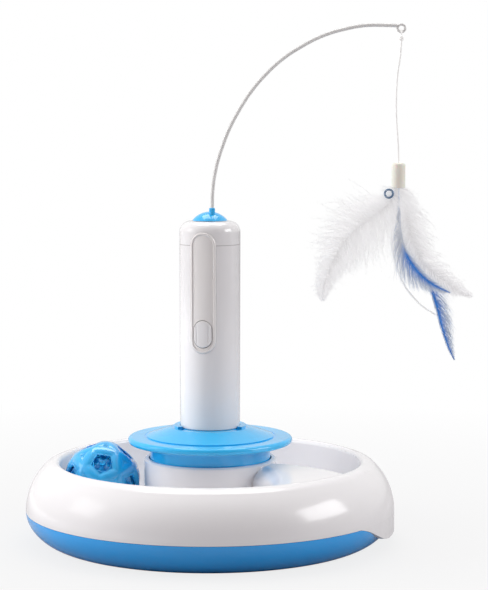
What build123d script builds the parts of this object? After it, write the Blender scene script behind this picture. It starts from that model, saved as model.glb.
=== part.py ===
from build123d import *
from math import atan2, cos, degrees, pi, radians, sin, sqrt, tan
import os

os.makedirs("parts", exist_ok=True)

# Base, seen from outside
RIM_WIDTH = 19.6
HULL_FOOT_INSET = 18.5
PARTING_Z = 20.5
CREST_Z = 52.0
SHOULDER_RADIUS = 10.0
LIP_RADIUS = 2.6
SHELL_WALL = 2.4
TRAY_FLOOR = 2.4
SEAM_GAP = 0.2

# Trough, hub and the cover arm across the trough
HUB_RADIUS = 43.1
HUB_WALL = 3.0
HUB_TOP_Z = 53.5
HUB_EDGE = 1.0
TROUGH_FILLET = 10.0
BALL_SIDE_PLAY = 2.85
ARM_INSET = 3.5
ARM_SOFT_EDGE = 12.0
ARM_DECK = 6.0
ARM_CRISP_EDGE = 1.2
LEDGE_Z = 40.0
LEDGE_THICKNESS = 2.4
LEDGE_HOLE_RADIUS = 24.0

# Skirt tab on the right of the shell
TAB_HALF_ANGLE = 38.0
TAB_FLAT_SHARE = 0.45
TAB_BOTTOM_Z = 7.5
TAB_THICKNESS = 3.0
TAB_GAP = 0.3

# Locating rim of the tray, inside the shell
RIM_THICKNESS = 1.9
RIM_RISE = 3.0

# Screws of the base
SCREW_INSET = 5.8
SCREW_COUNT = 4
SCREW_SHANK_RADIUS = 1.25
SCREW_HEAD_RADIUS = 3.0
SCREW_HEAD_HEIGHT = 2.2
SCREW_LENGTH = 8.0
SCREW_PLAY = 0.05
SCREW_CLEARANCE = 0.2
HEAD_PLAY = 0.5
POST_WALL = 1.8
POST_HEIGHT = 7.5
POST_SEAT_Z = 4.0
BOSS_RADIUS = 3.5

# Anti-slip pads
PAD_COUNT = 4
PAD_INSET = 15.5
PAD_START_ANGLE = 45.0
PAD_RADIUS = 9.0
PAD_THICKNESS = 1.4
PAD_PLAY = 0.1

# Lattice ball and its bell
BALL_RADIUS = 24.5
BALL_WALL = 2.2
BAND_WIDTH = 8.4
BALL_Z = 39.3
BALL_TURN = (53.5, 3.2, 45.0)
BALL_PLAY = 0.3
BELL_RADIUS = 7.0
BELL_WALL = 0.7
BELL_SLOT = 1.6
BELL_SLOT_SHARE = 0.85
PELLET_RADIUS = 2.0

# Handle
TUBE_TOP_RADIUS = 19.7
TUBE_FOOT_RADIUS = 19.4
TUBE_BORE_RADIUS = 17.2
TUBE_FOOT_Z = 73.7
TUBE_LENGTH = 119.1
TUBE_EDGE = 0.5
CAP_HEIGHT = 15.0
CAP_SHOULDER = 7.0
CAP_WALL = 2.4
CAP_SPIGOT = 3.4
FIT = 0.1

# Dock that the handle stands in
FLANGE_RADIUS = 53.5
FLANGE_THICKNESS = 4.5
FLANGE_TOP_Z = 67.6
GROOVE_RADIUS = 41.4
GROOVE_WIDTH = 1.4
GROOVE_DEPTH = 0.8
CONE_TOP_RADIUS = 25.5
NECK_PLAY = 0.8
NECK_WALL = 2.4
NECK_RING_STEP = 1.7
NECK_RING_HEIGHT = 3.0
SOCKET_WALL = 2.4
SOCKET_FLOOR = 2.0
SOCKET_PLAY = 0.35
COLLAR_THICKNESS = 3.6
COLLAR_HEIGHT = 1.4
COLLAR_NOTCH_DEPTH = 2.6
COLLAR_NOTCH_WRAP = 16.0
COLLAR_NOTCH_LEDGE = 0.4
COLLAR_WRAP = 28.0
CONE_RISE = 0.6
DOCK_SCREW_COUNT = 3
DOCK_SCREW_CIRCLE = 29.5
DOCK_SCREW_START_ANGLE = 90.0
DOCK_BOSS_RADIUS = 3.4
DOCK_SCREW_LENGTH = 14.0

# Battery cap, cells and contacts
CAP_BELOW_TUBE = 26.0
CAP_ABOVE_FOOT = 10.0
CAP_CUP_WALL = 1.8
CAP_CUP_FLOOR = 2.2
CAP_CUP_EDGE = 0.8
COIN_SLOT_WIDTH = 2.0
COIN_SLOT_DEPTH = 1.0
CELL_RADIUS = 7.05
CELL_LENGTH = 49.5
CELL_NIPPLE_RADIUS = 2.6
CELL_NIPPLE = 1.0
CELL_SPACING = 14.7
SPRING_HEIGHT = 2.6
SPRING_RADIUS = 3.6
SPRING_TIP_RADIUS = 2.2
BRIDGE_WIDTH = 9.2
CONTACT_THICKNESS = 0.4
PLATE_RADIUS = 6.0
CRADLE_WEB = 3.0
CRADLE_PLAY = 0.2

# Front panel, button, board and switch
FACE_TURN = 13.0
PANEL_WIDTH = 17.0
PANEL_BELOW_BUTTON = 12.6
PANEL_BELOW_TOP = 6.3
PANEL_BEAD = 1.7
PANEL_PROUD = 0.7
PANEL_FIELD_PROUD = 0.15
PANEL_RECESS = 1.2
BUTTON_WIDTH = 11.6
BUTTON_HEIGHT = 17.4
BUTTON_BELOW_SEAM = 56.7
BUTTON_GAP = 0.35
BUTTON_PROUD = 1.0
BUTTON_TRAVEL = 0.8
BUTTON_FLANGE = 1.2
BUTTON_SKIN = 1.6
BUTTON_FLANGE_FOOT = 0.8
BUTTON_FLANGE_HEAD = 0.4
BUTTON_STEM_RADIUS = 2.0
BOARD_WIDTH = 24.0
BOARD_BELOW_MOTOR = 6.2
BOARD_THICKNESS = 1.2
BOARD_OFFSET = 6.0
SWITCH_SIZE = 6.0
SWITCH_BODY = 3.4
SWITCH_PLUNGER_RADIUS = 1.7
SWITCH_PLUNGER = 0.8

# Motor and gear train
MOTOR_RADIUS = 10.0
MOTOR_LENGTH = 25.0
MOTOR_NOSE_RADIUS = 3.0
MOTOR_NOSE = 1.2
MOTOR_SHAFT_RADIUS = 1.0
MOTOR_SHAFT_INSIDE = 6.0
GEAR_MODULE = 0.5
WHEEL_TEETH = 24
PINION_TEETH = 12
TOOTH_HEAD = 0.85
TOOTH_FOOT = 1.15
TOOTH_SHARE = 0.86
PRESSURE_ANGLE = 20.0
GEAR_WIDTH = 3.0
GEAR_STEP = 0.7
PLATE_THICKNESS = 2.0
FRAME_BELOW_SEAM = 16.8
PILLAR_RADIUS = 2.2
PILLAR_CIRCLE = 13.8
PILLAR_COUNT = 3
PILLAR_START_ANGLE = 60.0
GEAR_SCREW_RADIUS = 1.0
GEAR_SCREW_BITE = 5.5
GEAR_SCREW_HEAD_RADIUS = 2.0
GEAR_SCREW_HEAD = 1.2
PIN_RADIUS = 1.0
PIN_PLAY = 0.05
OUTPUT_RADIUS = 1.5
BUSH_RADIUS = 3.2
BUSH_LENGTH = 6.0

# Rotor cap, wand and eye
DOME_RADIUS = 11.4
DOME_HEIGHT = 5.6
DOME_GAP = 0.3
BOSS_X = 1.5
BOSS_Y = -5.0
WAND_BOSS_RADIUS = 1.9
WAND_BOSS_TOP = 8.2
WAND_BOSS_EDGE = 0.5
WAND_FOOT_ABOVE_DOME = 1.5
SHAFT_GRIP_SHARE = 0.7
WAND_RADIUS = 1.2
EYE_RADIUS = 2.4
EYE_WIRE_RADIUS = 0.8

# Lure
STRING_RADIUS = 0.6
LOOP_RADIUS = 1.8
LOOP_GAP = 0.2
KNOT_RADIUS = 1.7
SLEEVE_RADIUS = 4.4
SLEEVE_LENGTH = 16.0
SLEEVE_ROUND = 1.6
LURE_GAP = 0.3
FEATHER_THICKNESS = 1.4
FEATHER_STEP = 1.75
RING_RADIUS = 2.6
RING_WIRE_RADIUS = 0.7
RING_ASIDE = 3.0

# Worked out from the sizes above: the rings grow outward from the hub and the ball
TROUGH_OUTER = HUB_RADIUS + 2 * (BALL_RADIUS + BALL_SIDE_PLAY)
TROUGH_MIDDLE = (HUB_RADIUS + TROUGH_OUTER) / 2
CREST_RADIUS = TROUGH_OUTER + LIP_RADIUS
BASE_RADIUS = CREST_RADIUS + RIM_WIDTH
HULL_FOOT_RADIUS = BASE_RADIUS - HULL_FOOT_INSET
PAD_CIRCLE = HULL_FOOT_RADIUS - PAD_INSET
SCREW_CIRCLE = TROUGH_OUTER - SCREW_INSET
NECK_RADIUS = HUB_RADIUS - HUB_WALL - NECK_PLAY
NECK_RING_RADIUS = NECK_RADIUS + NECK_RING_STEP
TROUGH_FLOOR_Z = BALL_Z - BALL_RADIUS - BALL_PLAY
SEAM_Z = TUBE_FOOT_Z + TUBE_LENGTH
CAP_TOP_Z = SEAM_Z + CAP_HEIGHT
CONE_TOP_Z = TUBE_FOOT_Z - FIT
DOME_Z = CAP_TOP_Z + DOME_GAP
BUTTON_Z = SEAM_Z - BUTTON_BELOW_SEAM
PANEL_FOOT_Z = BUTTON_Z - PANEL_BELOW_BUTTON
PANEL_TOP_Z = CAP_TOP_Z - PANEL_BELOW_TOP
FRAME_FOOT_Z = SEAM_Z - FRAME_BELOW_SEAM
FACE = Plane(
    origin=(0, 0, BUTTON_Z),
    x_dir=(cos(radians(FACE_TURN)), -sin(radians(FACE_TURN)), 0),
    z_dir=(-sin(radians(FACE_TURN)), -cos(radians(FACE_TURN)), 0),
)


def ring(outer, inner, low, high):
    """A plain round ring about the base's axis."""
    with BuildPart() as made:
        with BuildSketch(Plane.XY.offset(low)):
            Circle(outer)
            if inner > 0:
                Circle(inner, mode=Mode.SUBTRACT)
        extrude(amount=high - low)
    return made.part


def finish(piece, name):
    """Label a piece and write its file."""
    piece.label = name
    export_step(piece, "parts/" + name + ".step")


# Outer curve of the shell: a large arc from the widest circle and a small one up to the crest
crest_drop = CREST_Z - PARTING_Z
inward = BASE_RADIUS - CREST_RADIUS
side_rise = crest_drop - SHOULDER_RADIUS
side_reach = inward - SHOULDER_RADIUS
SIDE_RADIUS = SHOULDER_RADIUS + (side_rise ** 2 + side_reach ** 2) / (2 * side_reach)
side_centre = (BASE_RADIUS - SIDE_RADIUS, PARTING_Z)
shoulder_centre = (CREST_RADIUS, CREST_Z - SHOULDER_RADIUS)
side_turn = atan2(
    shoulder_centre[1] - side_centre[1],
    shoulder_centre[0] - side_centre[0],
)


def on_arc(centre, radius, turn):
    """Point of an arc in the (radius, height) plane, turn in radians."""
    return (centre[0] + radius * cos(turn), centre[1] + radius * sin(turn))


def shell_skin(inset):
    """Line from the parting up over the shoulder to the crest, inset into the wall."""
    side = SIDE_RADIUS - inset
    shoulder = SHOULDER_RADIUS - inset
    start = on_arc(side_centre, side, 0)
    join = on_arc(side_centre, side, side_turn)
    ThreePointArc(start, on_arc(side_centre, side, side_turn / 2), join)
    middle = on_arc(shoulder_centre, shoulder, (side_turn + pi / 2) / 2)
    ThreePointArc(join, middle, on_arc(shoulder_centre, shoulder, pi / 2))


def trough_line(grow):
    """Line from the crest down the trough's outer wall, over its floor and up the hub."""
    wall = TROUGH_OUTER + grow
    floor = TROUGH_FLOOR_Z - grow
    bend = TROUGH_FILLET + grow
    hub = HUB_RADIUS - grow
    lip = max(LIP_RADIUS - grow, 0.01)
    lip_centre = (CREST_RADIUS, CREST_Z - LIP_RADIUS)
    right = (wall - bend, floor + bend)
    left = (hub + bend, floor + bend)
    top = CREST_Z - grow
    lip_foot = (wall, CREST_Z - LIP_RADIUS)
    if grow < LIP_RADIUS / 2:
        ThreePointArc((CREST_RADIUS, top), on_arc(lip_centre, lip, 0.75 * pi), lip_foot)
    else:
        Polyline((CREST_RADIUS, top), (wall, top), lip_foot)
    Line(lip_foot, (wall, floor + bend))
    ThreePointArc((wall, floor + bend), on_arc(right, bend, -pi / 4), (wall - bend, floor))
    Line((wall - bend, floor), (hub + bend, floor))
    ThreePointArc((hub + bend, floor), on_arc(left, bend, -0.75 * pi), (hub, floor + bend))
    return (hub, floor + bend)


def spot(radius, turn):
    """Point in plan at a radius from the axis, turn in degrees."""
    return (radius * cos(radians(turn)), radius * sin(radians(turn)))


def arm_plan(inset):
    """Plan of the swept cover arm across the trough, from the hub to the rim."""
    with BuildSketch() as plan:
        with BuildLine():
            crisp = ThreePointArc(
                spot(HUB_RADIUS - 4.8, -19.9),
                spot(TROUGH_MIDDLE + 1.8, -24.1),
                spot(CREST_RADIUS + 11.2, -36.3),
            )
            rim = Line(crisp @ 1, spot(CREST_RADIUS + 7.6, -74.4))
            soft = ThreePointArc(
                rim @ 1, spot(TROUGH_MIDDLE + 3.8, -62.7), spot(HUB_RADIUS - 7.7, -47.3)
            )
            Line(soft @ 1, crisp @ 0)
        make_face()
        if inset > 0:
            offset(amount=-inset, kind=Kind.INTERSECTION, mode=Mode.REPLACE)
    return plan.sketch


# White upper shell: one revolved wall with crest, trough and hub
with BuildPart() as base_shell:
    with BuildSketch(Plane.XZ):
        with BuildLine():
            shell_skin(0)
            hub_point = trough_line(0)
            Line(hub_point, (HUB_RADIUS, HUB_TOP_Z - HUB_EDGE))
            Line((HUB_RADIUS, HUB_TOP_Z - HUB_EDGE), (HUB_RADIUS - HUB_EDGE, HUB_TOP_Z))
            bore = HUB_RADIUS - HUB_WALL
            Polyline(
                (HUB_RADIUS - HUB_EDGE, HUB_TOP_Z),
                (bore, HUB_TOP_Z),
                (bore, LEDGE_Z + LEDGE_THICKNESS),
                (LEDGE_HOLE_RADIUS, LEDGE_Z + LEDGE_THICKNESS),
                (LEDGE_HOLE_RADIUS, LEDGE_Z),
                (HUB_RADIUS - SHELL_WALL, LEDGE_Z),
            )
            inner_hub = trough_line(SHELL_WALL)
            Line(inner_hub, (HUB_RADIUS - SHELL_WALL, LEDGE_Z))
            shell_skin(SHELL_WALL)
            Line((BASE_RADIUS - SHELL_WALL, PARTING_Z), (BASE_RADIUS, PARTING_Z))
        make_face()
    revolve(axis=Axis.Z)

with BuildPart() as arm:
    with BuildSketch(Plane.XY.offset(TROUGH_FLOOR_Z - SHELL_WALL / 2)):
        add(arm_plan(0))
    extrude(amount=CREST_Z - TROUGH_FLOOR_Z + SHELL_WALL / 2)
    top_edges = arm.edges().group_by(Axis.Z)[-1].filter_by(GeomType.CIRCLE).sort_by(Axis.X)
    fillet(top_edges[0], ARM_SOFT_EDGE)
    top_edges = arm.faces().sort_by(Axis.Z)[-1].edges().filter_by(GeomType.CIRCLE).sort_by(Axis.X)
    fillet(top_edges[-1], ARM_CRISP_EDGE)
    add(ring(CREST_RADIUS - LIP_RADIUS / 3, HUB_RADIUS - HUB_WALL / 2, 0, CREST_Z), mode=Mode.INTERSECT)

with BuildPart() as arm_cavity:
    with BuildSketch():
        add(arm_plan(ARM_INSET))
    extrude(amount=CREST_Z - ARM_DECK)
    add(ring(TROUGH_OUTER, HUB_RADIUS, 0, CREST_Z), mode=Mode.INTERSECT)


def tab_edge(grow):
    """Front view of the skirt tab: flat in the middle, smooth flanks up to the parting."""
    half = BASE_RADIUS * sin(radians(TAB_HALF_ANGLE)) + grow
    flat = half * TAB_FLAT_SHARE
    low = TAB_BOTTOM_Z - grow
    with BuildSketch() as edge:
        with BuildLine():
            Line((-flat, low), (flat, low))
            Spline((flat, low), (half, PARTING_Z), tangents=((1, 0), (1, 0.25)))
            Polyline((half, PARTING_Z), (half, PARTING_Z + grow + 1), (-half, PARTING_Z + grow + 1))
            Line((-half, PARTING_Z + grow + 1), (-half, PARTING_Z))
            Spline((-flat, low), (-half, PARTING_Z), tangents=((-1, 0), (-1, 0.25)))
        make_face()
    return edge.sketch


def tab_block(grow, outer, inner, top):
    """Solid of the skirt tab between two radii."""
    with BuildPart() as block:
        with BuildSketch(Plane.YZ.offset(BASE_RADIUS / 2)):
            add(tab_edge(grow))
        extrude(amount=BASE_RADIUS)
        add(ring(outer, inner, TAB_BOTTOM_Z - grow, top), mode=Mode.INTERSECT)
    return block.part


with BuildPart() as tab:
    add(tab_block(0, BASE_RADIUS, BASE_RADIUS - TAB_THICKNESS, PARTING_Z + SHELL_WALL / 4))

with base_shell:
    add(arm.part)
    add(arm_cavity.part, mode=Mode.SUBTRACT)
    add(tab.part)
    # Screw bosses under the trough
    with PolarLocations(SCREW_CIRCLE, SCREW_COUNT):
        with Locations((0, 0, POST_HEIGHT)):
            Cylinder(
                BOSS_RADIUS,
                TROUGH_FLOOR_Z - SHELL_WALL / 2 - POST_HEIGHT,
                align=(Align.CENTER, Align.CENTER, Align.MIN),
            )
            Cylinder(
                SCREW_SHANK_RADIUS + SCREW_PLAY,
                POST_SEAT_Z + SCREW_LENGTH + SCREW_PLAY - POST_HEIGHT,
                align=(Align.CENTER, Align.CENTER, Align.MIN),
                mode=Mode.SUBTRACT,
            )
    # Holes for the dock's screws in the hub ledge
    with PolarLocations(DOCK_SCREW_CIRCLE, DOCK_SCREW_COUNT, start_angle=DOCK_SCREW_START_ANGLE):
        with Locations((0, 0, LEDGE_Z)):
            Cylinder(
                SCREW_SHANK_RADIUS + SCREW_CLEARANCE,
                LEDGE_THICKNESS,
                align=(Align.CENTER, Align.CENTER, Align.MIN),
                mode=Mode.SUBTRACT,
            )
finish(base_shell.part, "base_shell")


def hull_skin(inset):
    """Curve of the hull from its foot circle out to the parting."""
    foot = (HULL_FOOT_RADIUS - inset, 0)
    wide = (BASE_RADIUS - inset, PARTING_Z - SEAM_GAP)
    return Spline(foot, wide, tangents=((1, 0.22), (0, 1)), tangent_scalars=(1.0, 1.0))


rim_outer = BASE_RADIUS - TAB_THICKNESS - TAB_GAP
rim_inner = rim_outer - RIM_THICKNESS
rim_top = PARTING_Z + RIM_RISE
parting_face = PARTING_Z - SEAM_GAP

with BuildPart() as hull_body:
    with BuildSketch(Plane.XZ):
        with BuildLine():
            skin = hull_skin(0)
            Polyline(skin @ 1, (0, parting_face), (0, 0), skin @ 0)
        make_face()
    revolve(axis=Axis.Z)

with BuildPart() as hull_hollow:
    with BuildSketch(Plane.XZ):
        with BuildLine():
            skin = hull_skin(SHELL_WALL)
            Polyline(skin @ 1, (0, parting_face), (0, 0), skin @ 0)
        make_face()
    revolve(axis=Axis.Z)
    add(ring(BASE_RADIUS, 0, TRAY_FLOOR, parting_face), mode=Mode.INTERSECT)

with BuildPart() as base_tray:
    add(hull_body.part)
    add(hull_hollow.part, mode=Mode.SUBTRACT)
    add(tab_block(TAB_GAP, BASE_RADIUS + 1, rim_outer, PARTING_Z + 1), mode=Mode.SUBTRACT)
    # Locating rim, kept inside the curved flank below the parting
    add(ring(rim_outer, rim_inner, TRAY_FLOOR, parting_face) & hull_body.part)
    add(ring(rim_outer, rim_inner, parting_face, rim_top))
    with PolarLocations(SCREW_CIRCLE, SCREW_COUNT):
        Cylinder(
            SCREW_HEAD_RADIUS + HEAD_PLAY + POST_WALL,
            POST_HEIGHT - SEAM_GAP,
            align=(Align.CENTER, Align.CENTER, Align.MIN),
        )
    add(ring(BASE_RADIUS + 20, rim_outer, TRAY_FLOOR, rim_top) & hull_hollow.part, mode=Mode.SUBTRACT)
    with PolarLocations(SCREW_CIRCLE, SCREW_COUNT):
        Cylinder(
            SCREW_SHANK_RADIUS + SCREW_CLEARANCE,
            POST_HEIGHT,
            align=(Align.CENTER, Align.CENTER, Align.MIN),
            mode=Mode.SUBTRACT,
        )
        Cylinder(
            SCREW_HEAD_RADIUS + HEAD_PLAY,
            POST_SEAT_Z,
            align=(Align.CENTER, Align.CENTER, Align.MIN),
            mode=Mode.SUBTRACT,
        )
    with PolarLocations(PAD_CIRCLE, PAD_COUNT, start_angle=PAD_START_ANGLE):
        Cylinder(
            PAD_RADIUS + PAD_PLAY,
            PAD_THICKNESS,
            align=(Align.CENTER, Align.CENTER, Align.MIN),
            mode=Mode.SUBTRACT,
        )
finish(base_tray.part, "base_tray")

with BuildPart() as foot_pads:
    with PolarLocations(PAD_CIRCLE, PAD_COUNT, start_angle=PAD_START_ANGLE):
        Cylinder(PAD_RADIUS, PAD_THICKNESS, align=(Align.CENTER, Align.CENTER, Align.MIN))
finish(foot_pads.part, "foot_pads")


def screw_group(circle, count, start, head_top, length):
    """Pan head screws pointing up, their heads' upper face at head_top."""
    with BuildPart() as made:
        with PolarLocations(circle, count, start_angle=start):
            with Locations((0, 0, head_top - SCREW_HEAD_HEIGHT)):
                Cylinder(
                    SCREW_HEAD_RADIUS,
                    SCREW_HEAD_HEIGHT,
                    align=(Align.CENTER, Align.CENTER, Align.MIN),
                )
            with Locations((0, 0, head_top)):
                Cylinder(SCREW_SHANK_RADIUS, length, align=(Align.CENTER, Align.CENTER, Align.MIN))
    return made.part


finish(screw_group(SCREW_CIRCLE, SCREW_COUNT, 0, POST_SEAT_Z, SCREW_LENGTH), "shell_screws")
finish(
    screw_group(
        DOCK_SCREW_CIRCLE, DOCK_SCREW_COUNT, DOCK_SCREW_START_ANGLE, LEDGE_Z, DOCK_SCREW_LENGTH
    ),
    "dock_screws",
)

# Blue dock: flange, neck and the socket for the handle, turned from one section
socket_bore = TUBE_BORE_RADIUS - FIT + SOCKET_PLAY
socket_outer = socket_bore + SOCKET_WALL
cup_foot_z = TUBE_FOOT_Z - CAP_BELOW_TUBE
socket_floor_z = cup_foot_z - SOCKET_PLAY
flange_low = FLANGE_TOP_Z - FLANGE_THICKNESS
edge_round = FLANGE_THICKNESS / 2
groove_top = FLANGE_TOP_Z + CONE_RISE
neck_foot = LEDGE_Z + LEDGE_THICKNESS

with BuildPart() as handle_dock:
    with BuildSketch(Plane.XZ):
        with BuildLine():
            Polyline(
                (0, socket_floor_z),
                (socket_bore, socket_floor_z),
                (socket_bore, CONE_TOP_Z),
                (CONE_TOP_RADIUS, CONE_TOP_Z),
                (GROOVE_RADIUS, groove_top),
                (GROOVE_RADIUS, groove_top - GROOVE_DEPTH),
                (GROOVE_RADIUS + GROOVE_WIDTH, groove_top - GROOVE_DEPTH),
                (GROOVE_RADIUS + GROOVE_WIDTH, FLANGE_TOP_Z),
                (FLANGE_RADIUS - edge_round, FLANGE_TOP_Z),
            )
            ThreePointArc(
                (FLANGE_RADIUS - edge_round, FLANGE_TOP_Z),
                (FLANGE_RADIUS, FLANGE_TOP_Z - edge_round),
                (FLANGE_RADIUS - edge_round, flange_low),
            )
            Polyline(
                (FLANGE_RADIUS - edge_round, flange_low),
                (NECK_RING_RADIUS, flange_low),
                (NECK_RING_RADIUS, flange_low - NECK_RING_HEIGHT),
                (NECK_RADIUS, flange_low - NECK_RING_HEIGHT),
                (NECK_RADIUS, neck_foot),
                (NECK_RADIUS - NECK_WALL, neck_foot),
                (NECK_RADIUS - NECK_WALL, flange_low),
                (socket_outer, CONE_TOP_Z - NECK_WALL - 1),
                (socket_outer, socket_floor_z - SOCKET_FLOOR),
                (0, socket_floor_z - SOCKET_FLOOR),
                (0, socket_floor_z),
            )
        make_face()
    revolve(axis=Axis.Z)
    # Open collar round the handle, with its gap at the front
    collar_bore = TUBE_FOOT_RADIUS + SOCKET_PLAY
    gap_reach = 2 * FLANGE_RADIUS
    gap_side = gap_reach * tan(radians(90 - COLLAR_WRAP))
    with BuildSketch(Plane.XY.offset(CONE_TOP_Z - NECK_WALL / 4)):
        Circle(collar_bore + COLLAR_THICKNESS)
        Circle(collar_bore, mode=Mode.SUBTRACT)
        with BuildLine():
            Polyline((0, 0), (gap_side, -gap_reach), (-gap_side, -gap_reach), close=True)
        make_face(mode=Mode.SUBTRACT)
    extrude(amount=COLLAR_HEIGHT + NECK_WALL / 4)
    # Short notch in the cone before each end of the collar
    notch_side = gap_reach * tan(radians(90 - COLLAR_WRAP - COLLAR_NOTCH_WRAP))
    with BuildSketch(Plane.XY.offset(CONE_TOP_Z - COLLAR_NOTCH_DEPTH)):
        for side in (1, -1):
            near = (side * gap_side, -gap_reach)
            far = (side * notch_side, -gap_reach)
            with BuildLine():
                Polyline((0, 0), near, far, close=True)
            make_face()
        Circle(collar_bore + COLLAR_THICKNESS, mode=Mode.INTERSECT)
        Circle(collar_bore + COLLAR_NOTCH_LEDGE, mode=Mode.SUBTRACT)
    extrude(amount=COLLAR_NOTCH_DEPTH + COLLAR_HEIGHT, mode=Mode.SUBTRACT)
    # Screw bosses down to the hub ledge
    with PolarLocations(DOCK_SCREW_CIRCLE, DOCK_SCREW_COUNT, start_angle=DOCK_SCREW_START_ANGLE):
        with Locations((0, 0, neck_foot)):
            Cylinder(
                DOCK_BOSS_RADIUS,
                FLANGE_TOP_Z - neck_foot,
                align=(Align.CENTER, Align.CENTER, Align.MIN),
            )
            Cylinder(
                SCREW_SHANK_RADIUS + SCREW_PLAY,
                DOCK_SCREW_LENGTH,
                align=(Align.CENTER, Align.CENTER, Align.MIN),
                mode=Mode.SUBTRACT,
            )
finish(handle_dock.part, "handle_dock")

# Lattice ball: six bands run round it on great circles and leave twelve five-sided holes and
# twenty small three-sided ones; it is moulded in two halves that meet along one band's middle
BALL_CENTRE = Vector(-TROUGH_MIDDLE, 0, BALL_Z)
FIVE_LEAN = degrees(atan2(2, 1))


def direction(lean, turn):
    """Unit vector at an angle from the ball's pole, turned round the pole."""
    out = sin(radians(lean))
    return Vector(out * cos(radians(turn)), out * sin(radians(turn)), cos(radians(lean)))


upper_fives = [direction(FIVE_LEAN, 72 * step) for step in range(5)]
lower_fives = [other * -1 for other in upper_fives]
pole = Vector(0, 0, 1)
five_axes = [pole, pole * -1] + upper_fives + lower_fives
three_axes = []
for step in range(5):
    here = upper_fives[step]
    beside = upper_fives[(step + 1) % 5]
    opposite = upper_fives[(step + 3) % 5] * -1
    three_axes.append((pole + here + beside).normalized())
    three_axes.append((here + beside + opposite).normalized())


def hole_cutter(axis, sides):
    """Pyramid between the bands round one hole; its sides stand beside the bands' circles."""
    slope = min(abs(axis.dot(other)) for other in five_axes)
    beside = [other for other in five_axes if abs(abs(axis.dot(other)) - slope) < 0.01]
    side = beside[0] if axis.dot(beside[0]) < 0 else beside[0] * -1
    across = (side - axis * side.dot(axis)).normalized()
    apex = (BAND_WIDTH / 2) / slope
    spread = slope / sqrt(1 - slope * slope)
    with BuildPart() as cutter:
        for reach in (BALL_RADIUS * 0.7, BALL_RADIUS * 1.1):
            with BuildSketch(Plane(origin=axis * reach, x_dir=across, z_dir=axis)):
                inner_radius = (reach - apex) * spread
                RegularPolygon(inner_radius, sides, major_radius=False, rotation=180 / sides)
        loft()
    return cutter.part


with BuildPart() as half_cage:
    with BuildSketch(Plane.XZ):
        with BuildLine():
            inner = BALL_RADIUS - BALL_WALL
            ThreePointArc((BALL_RADIUS, 0), on_arc((0, 0), BALL_RADIUS, pi / 4), (0, BALL_RADIUS))
            Line((0, BALL_RADIUS), (0, inner))
            ThreePointArc((0, inner), on_arc((0, 0), inner, pi / 4), (inner, 0))
            Line((inner, 0), (BALL_RADIUS, 0))
        make_face()
    revolve(axis=Axis.Z)
    add([hole_cutter(axis, 5) for axis in [pole] + upper_fives], mode=Mode.SUBTRACT)
    add([hole_cutter(axis, 3) for axis in three_axes], mode=Mode.SUBTRACT)

ball_place = Location(BALL_CENTRE, BALL_TURN)
flipped = half_cage.part.rotate(Axis.Y, 180)
finish(half_cage.part.moved(ball_place), "ball_cage_upper")
finish(flipped.moved(ball_place), "ball_cage_lower")

# Bell inside the ball, lying on the lattice: a drawn shell with a slot across its lower half
bell_z = BALL_Z - (BALL_RADIUS - BALL_WALL) + BELL_RADIUS + BALL_PLAY
with BuildPart() as bell_shell:
    with BuildSketch(Plane.XZ):
        with BuildLine():
            inner = BELL_RADIUS - BELL_WALL
            Line((0, BELL_RADIUS), (0, inner))
            ThreePointArc((0, inner), (inner, 0), (0, -inner))
            Line((0, -inner), (0, -BELL_RADIUS))
            ThreePointArc((0, -BELL_RADIUS), (BELL_RADIUS, 0), (0, BELL_RADIUS))
        make_face()
    revolve(axis=Axis.Z)
    with BuildSketch(Plane.XY.offset(-2 * BELL_RADIUS)):
        SlotOverall(2 * BELL_RADIUS * BELL_SLOT_SHARE, BELL_SLOT)
    extrude(amount=2 * BELL_RADIUS, mode=Mode.SUBTRACT)
    with Locations((0, 0, inner)):
        Cylinder(BELL_SLOT / 2, 2 * BELL_WALL, align=(Align.CENTER, Align.CENTER, Align.MIN))
finish(bell_shell.part.moved(Location((-TROUGH_MIDDLE, 0, bell_z))), "bell_shell")

with BuildPart() as bell_pellet:
    with Locations((-TROUGH_MIDDLE, 0, bell_z - BELL_RADIUS + BELL_WALL + PELLET_RADIUS + BALL_PLAY)):
        Sphere(PELLET_RADIUS)
finish(bell_pellet.part, "bell_pellet")


def face_prism(width, height, centre_z, inset):
    """Straight oval prism through the front wall of the handle, its middle at centre_z."""
    with BuildPart() as prism:
        with BuildSketch(FACE.offset(TUBE_BORE_RADIUS / 2)):
            with Locations((0, centre_z - BUTTON_Z)):
                SlotOverall(height - 2 * inset, width - 2 * inset, rotation=90)
        extrude(amount=2 * TUBE_TOP_RADIUS)
    return prism.part


def face_block(width, height, centre_z, inset, inner, outer):
    """The part of a ring between two radii that lies under an oval on the handle's face."""
    with BuildPart() as block:
        add(ring(outer, inner, TUBE_FOOT_Z, CAP_TOP_Z))
        add(face_prism(width, height, centre_z, inset), mode=Mode.INTERSECT)
    return block.part


panel_height = PANEL_TOP_Z - PANEL_FOOT_Z
panel_middle = (PANEL_TOP_Z + PANEL_FOOT_Z) / 2
panel_size = (PANEL_WIDTH, panel_height, panel_middle)
button_size = (BUTTON_WIDTH, BUTTON_HEIGHT, BUTTON_Z)
panel_seat = TUBE_TOP_RADIUS - PANEL_RECESS
button_back = panel_seat - BUTTON_SKIN

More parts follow.
